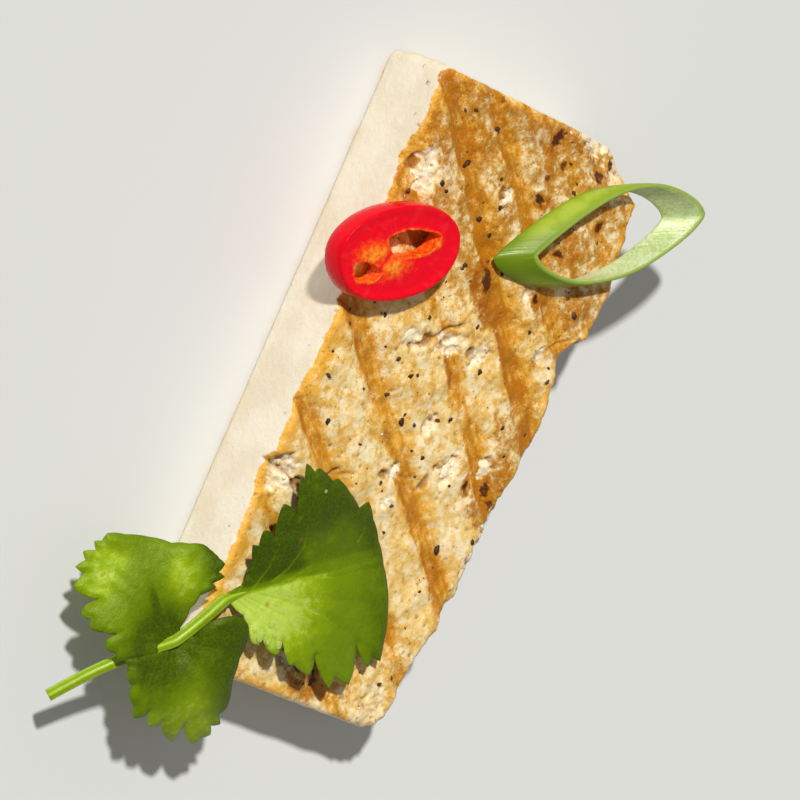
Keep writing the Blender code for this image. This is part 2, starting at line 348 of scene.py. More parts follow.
class Value:
    """A number that varies over a surface, for sums written as plain expressions."""

    def __init__(self, recipe: "Recipe", socket: bpy.types.NodeSocket) -> None:
        """Keeps the socket and the recipe that owns it."""
        self.recipe = recipe
        self.socket = socket

    def __add__(self, other: "Value | float") -> "Value":
        """Adds."""
        return self.recipe.math("ADD", self, other)

    def __radd__(self, other: float) -> "Value":
        """Adds to a number."""
        return self.recipe.math("ADD", other, self)

    def __sub__(self, other: "Value | float") -> "Value":
        """Subtracts."""
        return self.recipe.math("SUBTRACT", self, other)

    def __rsub__(self, other: float) -> "Value":
        """Subtracts from a number."""
        return self.recipe.math("SUBTRACT", other, self)

    def __mul__(self, other: "Value | float") -> "Value":
        """Multiplies."""
        return self.recipe.math("MULTIPLY", self, other)

    def __rmul__(self, other: float) -> "Value":
        """Multiplies a number."""
        return self.recipe.math("MULTIPLY", other, self)

    def __truediv__(self, other: "Value | float") -> "Value":
        """Divides."""
        return self.recipe.math("DIVIDE", self, other)

    def __pow__(self, other: float) -> "Value":
        """Raises to a power."""
        return self.recipe.math("POWER", self, other)

    def over(self, other: "Value | float") -> "Value":
        """The larger of the two."""
        return self.recipe.math("MAXIMUM", self, other)

    def under(self, other: "Value | float") -> "Value":
        """The smaller of the two."""
        return self.recipe.math("MINIMUM", self, other)

    def eased(self, low: float, high: float) -> "Value":
        """Eases the value from 0 to 1.

        Args:
            low: Where the result is 0.
            high: Where the result is 1. It may be less than low.

        Returns:
            The eased value.
        """
        start, end, first, last = (low, high, 0.0, 1.0) if low < high else (high, low, 1.0, 0.0)
        sockets = {"Value": self, "From Min": start, "From Max": end, "To Min": first, "To Max": last}
        made = self.recipe.node("ShaderNodeMapRange", {"interpolation_type": "SMOOTHSTEP"}, sockets)
        return Value(self.recipe, made.outputs["Result"])


class Recipe:
    """The nodes of one material."""

    def __init__(self, name: str) -> None:
        """Starts an empty material of this name."""
        self.material = bpy.data.materials.new(name)
        self.material.use_nodes = True
        self.tree = self.material.node_tree
        self.tree.nodes.clear()

    def node(self, kind: str, settings: dict | None = None, sockets: dict | None = None) -> bpy.types.Node:
        """Adds a node of any type.

        Args:
            kind: The node's type.
            settings: Its own settings, set first. A ramp's stops are pairs of place and colour.
            sockets: Values or links of its inputs, by identifier.

        Returns:
            The node.
        """
        made = self.tree.nodes.new(kind)
        for name, value in (settings or {}).items():
            if name == "stops":
                ramp = made.color_ramp.elements
                while len(ramp) < len(value):
                    ramp.new(0.5)
                for stop, (place, colour) in zip(ramp, value):
                    stop.position, stop.color = place, colour
            else:
                setattr(made, name, value)
        for name, value in (sockets or {}).items():
            target = next(s for s in made.inputs if name in (s.identifier, s.name))
            value = value.socket if isinstance(value, Value) else value
            if isinstance(value, bpy.types.NodeSocket):
                self.tree.links.new(value, target)
            else:
                target.default_value = value
        return made

    def math(self, operation: str, first: Value | float, second: Value | float) -> Value:
        """Adds a Math node and gives its result."""
        sockets = {"Value": first, "Value_001": second}
        return Value(self, self.node("ShaderNodeMath", {"operation": operation}, sockets).outputs[0])

    def marked(self, name: str) -> Value:
        """Reads a number stored on the mesh's points."""
        return Value(self, self.node("ShaderNodeAttribute", {"attribute_name": name}).outputs["Fac"])

    def place(self, stretch: tuple[float, float, float] = (1, 1, 1), turn: float = 0.0) -> bpy.types.NodeSocket:
        """Gives the place on the piece.

        Args:
            stretch: How many times further apart each axis counts.
            turn: Turn about z in radians, made before the stretch.

        Returns:
            The vector socket.
        """
        at = self.node("ShaderNodeTexCoord").outputs["Object"]
        if turn:
            sockets = {"Vector": at, "Angle": -turn}
            at = self.node("ShaderNodeVectorRotate", {"rotation_type": "Z_AXIS"}, sockets).outputs["Vector"]
        sockets = {"Vector": at, "Vector_001": stretch}
        return self.node("ShaderNodeVectorMath", {"operation": "MULTIPLY"}, sockets).outputs["Vector"]

    def noise(self, size: float, detail: float = 2.0, rough: float = 0.5, at: object = None) -> Value:
        """Samples a noise texture.

        Args:
            size: Width of its swells in millimetres.
            detail: How many finer widths it has.
            rough: How strong those are.
            at: Where it is sampled, if not at the place on the piece.

        Returns:
            A value from 0 to 1, mostly near a half.
        """
        sockets = {"Vector": at or self.place(), "Scale": 1 / (size * MM), "Detail": detail, "Roughness": rough}
        return Value(self, self.node("ShaderNodeTexNoise", None, sockets).outputs["Fac"])

    def cells(self, size: float, feature: str = "F1", at: object = None) -> Value:
        """Samples a cell texture's distance, for cells of a width in millimetres."""
        sockets = {"Vector": at or self.place(), "Scale": 1 / (size * MM)}
        return Value(self, self.node("ShaderNodeTexVoronoi", {"feature": feature}, sockets).outputs["Distance"])

    def mix(self, share: Value | float, under: object, over: object, blend: Blend = Blend.MIX) -> bpy.types.NodeSocket:
        """Lays one colour over another.

        Args:
            share: How much of the upper colour shows.
            under: The lower colour.
            over: The upper colour.
            blend: How it is laid on.

        Returns:
            The colour socket.
        """
        settings = {"data_type": "RGBA", "blend_type": blend.value, "clamp_factor": True}
        sockets = {"Factor_Float": share, "A_Color": under, "B_Color": over}
        made = self.node("ShaderNodeMix", settings, sockets)
        return next(s for s in made.outputs if s.identifier == "Result_Color")

    def bump(self, height: Value, depth: float, under: object = None) -> bpy.types.NodeSocket:
        """Adds fine relief.

        Args:
            height: The relief, about 0 to 1.
            depth: Its depth in millimetres.
            under: The normal of relief below it, if there is some.

        Returns:
            The normal socket.
        """
        sockets = {"Strength": 1.0, "Distance": depth * MM, "Height": height}
        if under is not None:
            sockets["Normal"] = under
        return self.node("ShaderNodeBump", None, sockets).outputs["Normal"]

    def finish(self, sockets: dict) -> bpy.types.Material:
        """Ends the material with a Principled shader.

        Args:
            sockets: Values or links of the shader's inputs.

        Returns:
            The material.
        """
        shader = self.node("ShaderNodeBsdfPrincipled", None, sockets)
        self.node("ShaderNodeOutputMaterial", None, {"Surface": shader.outputs["BSDF"]})
        return self.material


@dataclass(frozen=True)
class TofuFinish:
    """Grilled tofu: creamy skin, golden bars, browned and torn places, pale smooth cut sides, with painted shade in its
    pits, cracks and crevices and along one wall of each groove.
    """

    light: Rgba = shade(251, 230, 182)
    plain: Rgba = shade(240, 202, 120)
    warm: Rgba = shade(226, 170, 70)
    tan: Rgba = shade(184, 132, 58)
    gold: Rgba = shade(236, 174, 56)
    gold_deep: Rgba = shade(194, 124, 12)
    brown: Rgba = shade(174, 96, 6)
    brown_deep: Rgba = shade(118, 54, 4)
    char: Rgba = shade(58, 24, 6)
    curd: Rgba = shade(253, 240, 210)
    curd_deep: Rgba = shade(234, 200, 138)
    # The colour of painted shade in pits, cracks and crevices.
    hole: Rgba = shade(140, 84, 18)
    cut: Rgba = shade(239, 228, 206)
    cut_deep: Rgba = shade(231, 217, 190)
    bar_turn: float = math.radians(46)

    def material(self) -> bpy.types.Material:
        """Builds the material."""
        r = Recipe("grilled_tofu")
        skin, bar, brown = r.marked("skin"), r.marked("bar"), r.marked("brown")
        torn, char, hole = r.marked("torn"), r.marked("char"), r.marked("hole")
        busy = 1 - r.marked("calm")
        streaked = r.place((0.16, 1.0, 1.0), self.bar_turn)
        wide, middle, fine = r.noise(7.0, 3), r.noise(1.6, 4, 0.62), r.noise(0.4, 3, 0.65)
        lines = r.noise(0.9, 4, 0.6, at=streaked)
        drift = r.noise(3.4, 3, 0.55, at=r.place((0.45, 1.0, 1.0), self.bar_turn))

        colour = r.mix((drift * 0.4 + lines * 0.2 + middle * 0.4).eased(0.40, 0.56), self.light, self.plain)
        colour = r.mix((middle * 0.6 + wide * 0.4).eased(0.47, 0.60) * (0.25 + 0.5 * busy), colour, self.warm)
        colour = r.mix((brown + (drift - 0.5) * 1.0 + (middle - 0.5) * 1.2).eased(0.05, 0.60) * 0.85, colour, self.tan)
        level = r.marked("halo") + (middle - 0.5) * 0.6 + (drift - 0.5) * 0.5
        colour = r.mix(level.eased(0.06, 0.62) * 0.9, colour, self.gold)
        level = bar + (middle - 0.5) * 0.5 + (lines - 0.5) * 0.45 + (fine - 0.5) * 0.2
        golden = r.mix((lines * 0.5 + middle * 0.3 + bar * 0.2).eased(0.40, 0.62), self.gold, self.gold_deep)
        colour = r.mix(level.eased(0.17, 0.60) * 0.92, colour, golden)
        # Real browning on the bars and browned places, with painted shade along the wall of each groove that faces away
        # from the lamp.
        colour = r.mix((level + r.marked("lip") * 0.6 + brown * 0.8 - 0.68).eased(0.0, 0.6) * 0.65, colour, self.brown)
        level = brown + (middle - 0.5) * 1.3 + (drift - 0.5) * 1.1 + (fine - 0.5) * 0.4
        colour = r.mix((level - 0.22).eased(0.0, 0.5) * 0.8, colour, self.gold_deep)
        colour = r.mix((level - 0.48).eased(0.0, 0.5) * 0.85, colour, self.brown)
        colour = r.mix((level - 0.74).eased(0.0, 0.5) * 0.8, colour, self.brown_deep)
        dust = r.cells(1.5).eased(0.13, 0.05) * r.noise(4.0, 1).eased(0.40, 0.54)
        colour = r.mix(dust * 0.7, colour, self.brown_deep)
        toast = (fine * 0.6 + middle * 0.4).eased(0.54, 0.68) * (0.35 * busy + brown * 1.3).under(1.0)
        colour = r.mix(toast * 0.75, colour, self.brown)
        glow = (middle * 0.6 + fine * 0.4).eased(0.45, 0.33) * (0.75 - 0.55 * bar) * (0.4 + 0.6 * busy)
        colour = r.mix(glow * (1 - 0.9 * brown).over(0.3), colour, self.light)
        pale = r.mix((fine * 0.4 + middle * 0.6).eased(0.42, 0.62) * 0.8, self.curd, self.curd_deep)
        colour = r.mix((torn + (fine - 0.5) * 0.9 + (middle - 0.5) * 1.1).eased(0.25, 0.75) * 0.95, colour, pale)

        side = r.mix(r.noise(9.0, 3).eased(0.40, 0.62), self.cut, self.cut_deep)
        side = r.mix(r.marked("crumb") * (middle * 0.6 + wide * 0.4).eased(0.42, 0.62) * 0.7, side, self.curd_deep)
        colour = r.mix((skin + (middle - 0.5) * 0.9 + (fine - 0.5) * 0.4).eased(0.30, 0.80), side, colour)
        # Painted shade: darker brown in the pits, sunk places, cracks and crevices.
        colour = r.mix((hole + (fine - 0.5) * 0.5 * hole).under(1.0) * 0.85, colour, self.hole)
        level = char + (fine - 0.5) * 0.8 + (middle - 0.5) * 0.8
        colour = r.mix(level.eased(0.15, 0.85) * char.eased(0.0, 0.5) * 0.85, colour, self.brown_deep)
        colour = r.mix(level.eased(0.45, 1.05) * char.eased(0.2, 0.7) * 0.9, colour, self.char)

        gloss = 0.48 - 0.10 * skin * wide.eased(0.4, 0.6) + 0.24 * (fine - 0.5) + 0.04 * torn - 0.08 * bar
        grain = fine * 0.6 + r.noise(0.18, 2, 0.6) * 0.4
        coarse = r.bump(middle * 0.6 + lines * 0.4, 0.26)
        relief = r.bump(grain * (skin * 0.8 + 0.2 + r.marked("crumb") * 0.6).under(1.0), 0.13, coarse)
        return r.finish(
            {
                "Base Color": colour,
                "Roughness": gloss,
                "Normal": relief,
                "Specular IOR Level": 0.40,
                "Specular Tint": (1.0, 0.86, 0.60, 1.0),
                "Subsurface Weight": 0.15,
                "Subsurface Radius": (1.0, 0.62, 0.28),
                "Subsurface Scale": 0.0008,
                "Coat Weight": 0.05,
                "Coat Roughness": 0.16,
            }
        )


@dataclass(frozen=True)
class PepperFinish:
    """Coarsely ground black pepper."""

    husk: Rgba = shade(36, 18, 8)
    brown: Rgba = shade(104, 56, 16)
    heart: Rgba = shade(150, 100, 48)

    def material(self) -> bpy.types.Material:
        """Builds the material."""
        r = Recipe("black_pepper")
        fleck = r.noise(0.25, 2, 0.6)
        colour = r.mix(r.marked("tone"), self.husk, self.brown)
        colour = r.mix(fleck.eased(0.54, 0.70) * 0.7, colour, self.heart)
        relief = r.bump(r.noise(0.08, 2), 0.04)
        return r.finish({"Base Color": colour, "Roughness": 0.45 + 0.3 * fleck, "Normal": relief})


@dataclass(frozen=True)
class CrumbFinish:
    """Loose crumbs of curd."""

    curd: Rgba = shade(252, 243, 220)
    toasted: Rgba = shade(222, 170, 92)

    def material(self) -> bpy.types.Material:
        """Builds the material."""
        r = Recipe("tofu_crumb")
        patch = r.noise(1.2, 3, 0.6)
        colour = r.mix(patch.eased(0.5, 0.64), self.curd, self.toasted)
        relief = r.bump(r.noise(0.15, 3), 0.05)
        sockets = {"Base Color": colour, "Roughness": 0.4 + 0.2 * patch, "Normal": relief}
        sockets |= {"Subsurface Weight": 0.35, "Subsurface Radius": (1.0, 0.62, 0.28), "Subsurface Scale": 0.0012}
        return r.finish(sockets)


@dataclass(frozen=True)
class ChilliFinish:
    """Fresh red chilli: glossy skin, wet flesh, orange pith round its seed chambers."""

    skin: Rgba = shade(218, 0, 22)
    flesh: Rgba = shade(240, 0, 30)
    flesh_light: Rgba = shade(252, 52, 60)
    pith: Rgba = shade(250, 84, 10)
    pith_light: Rgba = shade(255, 164, 52)

    def material(self) -> bpy.types.Material:
        """Builds the material."""
        r = Recipe("red_chilli")
        skin, pith, streak = r.marked("skin"), r.marked("pith"), r.marked("streak")
        middle, fine = r.noise(0.9, 3, 0.6), r.noise(0.28, 3, 0.6)
        colour = r.mix((streak + (fine - 0.5) * 0.8).eased(0.45, 1.0) * 0.45, self.flesh, self.flesh_light)
        colour = r.mix((pith + (middle - 0.5) * 1.2 + (fine - 0.5) * 0.8).eased(0.20, 0.80), colour, self.pith)
        colour = r.mix((pith * 1.1 + (middle - 0.5) * 1.6 - 0.45).eased(0.20, 0.85) * 0.8, colour, self.pith_light)
        colour = r.mix(skin, colour, self.skin)
        gloss = 0.20 + 0.14 * (1 - skin) + 0.16 * (fine - 0.5) * (1 - skin)
        relief = r.bump((middle * 0.4 + fine * 0.4 + r.noise(0.12, 2) * 0.2) * (1 - skin), 0.10)
        return r.finish(
            {
                "Base Color": colour,
                "Roughness": gloss,
                "Normal": relief,
                "Specular IOR Level": 0.35,
                "Specular Tint": (1.0, 0.45, 0.40, 1.0),
                "Subsurface Weight": 0.12,
                "Subsurface Radius": (1.0, 0.05, 0.02),
                "Subsurface Scale": 0.0010,
                "Coat Weight": 0.12,
                "Coat Roughness": 0.10,
            }
        )


@dataclass(frozen=True)
class OnionFinish:
    """Spring onion leaf: waxy yellow-green outside, with painted light across the middle of its outer wall and painted
    shade towards its edges, pale and glistening inside.
    """

    outer: Rgba = shade(136, 158, 14)
    outer_light: Rgba = shade(170, 188, 66)
    outer_deep: Rgba = shade(98, 128, 0)
    inner: Rgba = shade(160, 180, 96)
    inner_light: Rgba = shade(210, 220, 176)
    rim: Rgba = shade(150, 174, 50)

    def material(self) -> bpy.types.Material:
        """Builds the material."""
        r = Recipe("spring_onion")
        inside, rim = r.marked("inner"), r.marked("rim")
        along = {"X": r.marked("around"), "Y": r.marked("rise") * 0.12, "Z": 0.0}
        lengthwise = r.node("ShaderNodeCombineXYZ", None, along).outputs["Vector"]
        veins, wide = r.noise(0.5, 3, 0.55, at=lengthwise), r.noise(4.0, 2)
        grains = r.noise(0.55, 3, 0.65)
        # Painted light across the middle of the outer wall's height, with random tone.
        level = r.marked("band") * 0.7 + (wide - 0.5) * 1.2 + (veins - 0.5) * 0.5 + (grains - 0.5) * 0.35
        colour = r.mix(level.eased(0.25, 1.05), self.outer, self.outer_light)
        # Darker at the tip, with painted shade towards the wall's edges.
        level = r.marked("tip") * 0.9 + (1 - r.marked("band")) * 0.5 + (veins - 0.5) * 0.3 + (wide - 0.5) * 0.6
        colour = r.mix(level.eased(0.10, 0.95) * 0.85, colour, self.outer_deep)
        pale = r.mix((grains * 0.45 + veins * 0.25 + wide * 0.3).eased(0.32, 0.68), self.inner, self.inner_light)
        colour = r.mix(inside, colour, pale)
        colour = r.mix(rim * 0.6, colour, self.rim)
        gloss = 0.42 + 0.1 * (veins - 0.5) + 0.2 * (grains - 0.5) - 0.10 * inside
        relief = r.bump(veins * (1 - inside) * 0.3 + grains * (0.4 + inside), 0.06)
        return r.finish(
            {
                "Base Color": colour,
                "Roughness": gloss,
                "Normal": relief,
                "Specular IOR Level": 0.40,
                "Specular Tint": (1.0, 1.0, 0.70, 1.0),
                "Subsurface Weight": 0.15,
                "Subsurface Radius": (0.8, 1.0, 0.15),
                "Subsurface Scale": 0.0006,
                "Coat Weight": 0.05,
                "Coat Roughness": 0.18,
            }
        )


@dataclass(frozen=True)
class LeafFinish:
    """Coriander leaf: vivid green with paler veins, painted light and a painted sheen where it faces the lamp, and
    painted shade.
    """

    green: Rgba = shade(108, 134, 0)
    green_light: Rgba = shade(148, 174, 4)
    green_deep: Rgba = shade(58, 78, 0)
    sheen: Rgba = shade(196, 214, 110)
    vein: Rgba = shade(150, 178, 24)
    blemish: Rgba = shade(140, 100, 16)

    def material(self) -> bpy.types.Material:
        """Builds the material."""
        r = Recipe("coriander_leaf")
        vein, deep, bright = r.marked("vein"), r.marked("deep"), r.marked("bright")
        wide, middle, fine = r.noise(5.0, 3), r.noise(1.3, 3, 0.6), r.noise(0.32, 3, 0.6)
        net = r.cells(0.9, "DISTANCE_TO_EDGE").eased(0.10, 0.0)
        level = (wide - 0.5) * 0.9 + (middle - 0.5) * 0.35
        # Painted shade, with random tone.
        colour = r.mix((deep + level).eased(-0.15, 1.0), self.green, self.green_deep)
        # Painted light where the leaflet faces the lamp, with random tone.
        colour = r.mix((bright + level).eased(0.0, 0.9), colour, self.green_light)
        # Painted sheen, strongest where the painted light is.
        satin = (bright * 1.1 + vein * 0.35 + (middle - 0.5) * 1.4 + (fine - 0.5) * 0.9 - 0.40).eased(0.10, 0.8)
        colour = r.mix(satin * 0.5, colour, self.sheen)
        colour = r.mix(net * 0.10, colour, self.vein)
        colour = r.mix(vein.eased(0.15, 1.0) * (0.45 + 0.35 * bright), colour, self.vein)
        spots = r.cells(7.5).eased(0.075, 0.04)
        colour = r.mix(spots * 0.55, colour, self.blemish)
        gloss = 0.50 + 0.22 * (middle - 0.5) - 0.12 * bright
        coarse = r.bump(middle * 0.9 - net * 0.1, 0.15)
        relief = r.bump(fine, 0.04, coarse)
        return r.finish(
            {
                "Base Color": colour,
                "Roughness": gloss,
                "Normal": relief,
                "Specular IOR Level": 0.40,
                "Specular Tint": (0.80, 1.0, 0.30, 1.0),
                "Subsurface Weight": 0.08,
                "Subsurface Radius": (0.6, 1.0, 0.05),
                "Subsurface Scale": 0.0006,
            }
        )


@dataclass(frozen=True)
class StemFinish:
    """Coriander stalk: pale yellow-green with a lengthwise stripe."""

    green: Rgba = shade(128, 158, 4)
    pale: Rgba = shade(178, 200, 60)

    def material(self) -> bpy.types.Material:
        """Builds the material."""
        r = Recipe("coriander_stalk")
        stripe = r.marked("stripe")
        middle = r.noise(0.8, 3, 0.6)
        colour = r.mix((stripe + (middle - 0.5) * 1.2).eased(0.15, 1.1) * 0.75, self.green, self.pale)
        relief = r.bump(stripe * 0.5 + r.noise(0.25, 2) * 0.5, 0.05)
        sockets = {"Base Color": colour, "Roughness": 0.34 + 0.2 * (middle - 0.5), "Normal": relief}
        sockets |= {"Subsurface Weight": 0.15, "Subsurface Radius": (0.6, 1.0, 0.1), "Subsurface Scale": 0.0008}
        return r.finish(sockets | {"Specular IOR Level": 0.35})


@dataclass(frozen=True)
class WaterFinish:
    """Clear water, with a painted glint on the low side of each drop away from the lamp."""

    tint: Rgba = shade(208, 232, 120)
    glint: Rgba = shade(246, 252, 224)

    def material(self) -> bpy.types.Material:
        """Builds the material."""
        r = Recipe("water_drop")
        crown = r.marked("crown")
        # Painted glint: paler and more opaque on the low side away from the lamp.
        colour = r.mix(crown, self.tint, self.glint)
        sockets = {"Base Color": colour, "Roughness": 0.06, "Alpha": 0.28 + 0.42 * crown}
        return r.finish(sockets | {"IOR": 1.33, "Specular IOR Level": 1.0})


@dataclass(frozen=True)
class FloorFinish:
    """A plain pale table top."""

    tone: Rgba = shade(222, 222, 218)

    def material(self) -> bpy.types.Material:
        """Builds the material."""
        r = Recipe("pale_floor")
        faint = r.noise(60.0, 2)
        colour = r.mix(faint * 0.05, self.tone, shade(205, 205, 202))
        return r.finish({"Base Color": colour, "Roughness": 0.7})


# ---------------------------------------------------------------- the slab


@dataclass(frozen=True)
class GrillBar:
    """One bar that a ridge of the grill pan has pressed in and browned. Lengths in millimetres."""

    front_x: float  # where its middle line would cross y = -25
    back_x: float  # where it would cross y = 25
    width: float = 3.8
    strength: float = 0.9

    def offset(self, x: np.ndarray, y: np.ndarray) -> np.ndarray:
        """Gives each place's distance from the bar's middle line, in millimetres."""
        run = self.back_x - self.front_x
        return ((x - self.front_x) * 50 - (y + 25) * run) / math.hypot(50, run)


@dataclass(frozen=True)
class Patch:
    """A soft-edged oval patch. Lengths in millimetres, turn in degrees."""

    x: float
    y: float
    half_x: float
    half_y: float
    strength: float = 1.0
    turn: float = 0.0

    def share(self, x: np.ndarray, y: np.ndarray, wander: np.ndarray) -> np.ndarray:
        """Gives how far each place is inside the patch.

        Args:
            x: Places along the slab.
            y: Places across it.
            wander: How far the patch's edge is shifted, as a share of its size.

        Returns:
            The patch's strength in its middle, falling to 0 outside it.
        """
        turn = math.radians(self.turn)
        along = (x - self.x) * math.cos(turn) + (y - self.y) * math.sin(turn)
        across = (y - self.y) * math.cos(turn) - (x - self.x) * math.sin(turn)
        reach = np.sqrt((along / self.half_x) ** 2 + (across / self.half_y) ** 2) + wander
        return self.strength * smooth(1.2, 0.65, reach)


@dataclass(frozen=True)
class Crack:
    """A crack in the skin through some points. Lengths in millimetres."""

    path: tuple[Pair, ...]
    width: float = 0.35
    depth: float = 0.7

    def share(self, x: np.ndarray, y: np.ndarray) -> np.ndarray:
        """Gives how open the crack is at each place, 1 on its line."""
        nearest = np.full(x.shape, 99.0)
        for (ax, ay), (bx, by) in zip(self.path, self.path[1:]):
            run = np.array((bx - ax, by - ay))
            along = np.clip(((x - ax) * run[0] + (y - ay) * run[1]) / (run @ run), 0, 1)
            nearest = np.minimum(nearest, np.hypot(x - ax - along * run[0], y - ay - along * run[1]))
        return np.exp(-((nearest / self.width) ** 2))


@dataclass
class TofuSlab:
    """The slab. Its outline and level follow the model's own, and its relief is added here."""

    half_length: float = 0.054
    front_y: float = -0.025
    thickness: float = 0.0152
    taper: float = 0.020
    back_edge: tuple[Pair, ...] = (
        (-0.054, 0.0225),
        (-0.046, 0.0258),
        (-0.030, 0.0284),
        (-0.0222, 0.0282),
        (-0.0182, 0.0246),
        (-0.003, 0.0268),
        (0.009, 0.0250),
        (0.024, 0.0262),
        (0.042, 0.0222),
        (0.054, 0.0214),
    )
    corner_radii: dict = field(
        default_factory=lambda: {(-1, -1): 0.0020, (1, -1): 0.0045, (-1, 1): 0.0060, (1, 1): 0.0040}
    )
    rim: Pair = (0.0009, 0.0012)  # inset and depth of the rounding at the top
    foot: Pair = (0.0010, 0.0010)
    belly: float = 0.0004
    torn_flare: float = 0.0016
    cells: tuple[int, int, int] = (372, 172, 26)
    bar_depth: float = 0.85
    bars: tuple[GrillBar, ...] = (
        GrillBar(-72.7, -36.0, 3.4, 0.45),
        GrillBar(-64.9, -17.5, 3.6, 0.75),
        GrillBar(-54.0, -3.1, 4.0, 0.95),
        GrillBar(-35.9, 12.3, 3.8, 0.80),
        GrillBar(-14.2, 30.8, 4.2, 0.80),
        GrillBar(5.7, 46.6, 3.6, 0.85),
        GrillBar(21.5, 65.3, 3.6, 0.65),
    )
    torn: tuple[Patch, ...] = (
        Patch(-36.8, -20.3, 3.6, 2.4),
        Patch(-38.2, -1.5, 1.9, 0.9, 1.0, 10),
        Patch(-12.8, 7.2, 2.8, 1.5, 1.0, -20),
        Patch(-11.5, -0.6, 1.9, 3.6, 1.0, 20),
        Patch(-10.6, -8.0, 2.4, 2.2, 0.7),
        Patch(7.8, 11.2, 3.2, 1.9),
        Patch(2.2, 3.5, 2.4, 0.9, 0.9, -5),
        Patch(11.7, 0.9, 1.7, 1.7),
        Patch(16.4, 1.5, 2.0, 1.0, 1.0, -25),
        Patch(23.8, -8.2, 1.9, 1.9),
        Patch(21.4, -14.6, 2.0, 1.8),
        Patch(18.8, -21.5, 3.4, 2.4),
        Patch(47.6, -3.4, 1.5, 3.4),
        Patch(5.0, 18.7, 2.0, 1.4, 0.8),
        Patch(28.2, -9.6, 2.4, 2.4, 0.6),
        Patch(-54.5, 14.5, 2.8, 7.5),
        Patch(-52.0, 21.5, 3.0, 2.5, 0.7),
        Patch(-24.6, 11.2, 1.3, 0.9, 0.8),
        Patch(19.5, 25.6, 9.0, 2.0, 0.8, 4),
        Patch(34.0, 25.2, 6.5, 1.4, 0.7, -22),
        Patch(-16.5, 19.6, 1.9, 0.9, 0.8, 10),
        Patch(51.0, 17.5, 4.0, 3.5, 0.5),
    )
    browned: tuple[Patch, ...] = (
        Patch(-42.0, 14.0, 13.0, 11.0, 0.42),
        Patch(-51.0, 3.0, 4.0, 8.0, 0.55),
        Patch(8.0, 21.5, 7.5, 4.5, 0.55),
        Patch(-22.5, 2.0, 7.0, 3.0, 0.75, 48),
        Patch(-27.0, 23.0, 7.0, 5.5, 0.50),
        Patch(-4.0, 20.5, 8.0, 5.0, 0.35),
        Patch(27.0, -10.0, 4.0, 3.0, 0.50),
        Patch(50.0, 3.5, 3.2, 7.0, 0.50),
        Patch(-35.5, 17.5, 7.0, 4.0, 0.45, 30),
        Patch(-53.0, -11.0, 2.5, 2.5, 0.55),
        Patch(-37.6, -22.7, 2.2, 1.2, 0.80),
        Patch(27.5, 20.5, 6.0, 2.5, 0.30, 45),
    )
    charred: tuple[Patch, ...] = (
        Patch(-51.2, 3.4, 1.1, 1.8, 1.0, 60),
        Patch(-40.4, 5.3, 1.0, 1.4),
        Patch(-47.4, 7.0, 0.8, 0.7, 0.7),
        Patch(-44.5, 4.6, 0.7, 0.6, 0.7),
        Patch(-25.1, 13.2, 1.3, 0.8, 1.0, 20),
        Patch(-48.4, 17.2, 1.3, 1.0, 0.9),
        Patch(-51.2, 19.9, 0.9, 0.7, 0.9),
        Patch(-24.0, 2.0, 2.2, 1.0, 0.85, 30),
        Patch(9.2, 16.4, 1.3, 0.8, 0.9, 20),
        Patch(8.4, 21.0, 1.3, 1.0, 0.9, 30),
        Patch(10.5, 23.4, 0.9, 0.8, 0.8),
        Patch(49.6, 3.0, 1.5, 0.9, 0.9, 15),
        Patch(47.2, 0.6, 0.9, 0.7, 0.7),
        Patch(50.6, 0.2, 0.7, 1.0, 0.6),
        Patch(-53.2, -11.0, 0.9, 0.6, 0.7),
        Patch(38.6, 8.0, 0.8, 0.7, 0.45),
        Patch(-40.8, 20.0, 1.0, 0.8, 0.85),
        Patch(-33.4, 13.6, 0.8, 1.2, 0.85),
        Patch(-34.6, 9.8, 1.2, 0.6, 0.8, -50),
        Patch(-15.6, 18.6, 1.6, 0.5, 0.5, 12),
    )
    sunk: tuple[Patch, ...] = (  # pits that are deeper than the skin's own, with their depth as strength
        Patch(32.4, -4.0, 1.0, 1.8, 0.9, 30),
        Patch(-12.0, 5.0, 1.1, 0.9, 1.2),
        Patch(-11.2, -4.6, 1.2, 1.2, 1.0),
        Patch(-38.4, -3.0, 1.5, 0.6, 0.9, 12),
        Patch(11.4, 7.6, 1.6, 0.7, 1.1),
        Patch(8.2, 8.4, 0.7, 0.6, 0.9),
        Patch(19.4, -17.6, 1.1, 1.6, 1.2, 20),
        Patch(12.6, -1.4, 0.9, 1.0, 0.9),
        Patch(27.4, -10.6, 1.8, 0.9, 0.8, 30),
        Patch(-37.0, -22.9, 1.5, 0.8, 0.8),
        Patch(48.0, -0.8, 0.7, 1.0, 0.7),
    )
    cracks: tuple[Crack, ...] = (
        Crack(((14.6, -10.8), (17.5, -12.8), (19.8, -14.6), (21.0, -17.5), (18.6, -20.4), (17.5, -25.4)), 0.35, 0.8),
        Crack(((-15.8, 0.8), (-14.6, -0.8), (-12.2, -3.2), (-10.2, -5.2), (-9.3, -7.4)), 0.35, 0.7),
        Crack(((0.4, 2.7), (2.3, 2.2), (3.9, 2.7)), 0.28, 0.5),
        Crack(((17.4, -13.9), (15.2, -9.6), (14.6, -7.8)), 0.4, 0.35),
        Crack(((13.0, -2.6), (12.2, -0.2), (11.8, 3.9)), 0.45, 0.3),
        Crack(((-21.0, 24.4), (-18.5, 21.0), (-14.5, 17.8)), 0.3, 0.35),
        Crack(((46.3, 3.0), (46.6, -0.8), (48.8, -3.4), (47.4, -7.2)), 0.3, 0.5),
    )
    chips: tuple[tuple[float, ...], ...] = (  # x, y, half x, half y, depth
        (-37.0, -24.5, 4.5, 3.2, 1.2),
        (19.5, -24.5, 3.5, 4.0, 1.3),
        (-54.5, 20.0, 8.5, 10.0, 4.2),
        (-19.0, 28.0, 3.0, 3.5, 2.0),
        (26.0, 27.0, 14.0, 4.0, 1.8),
    )
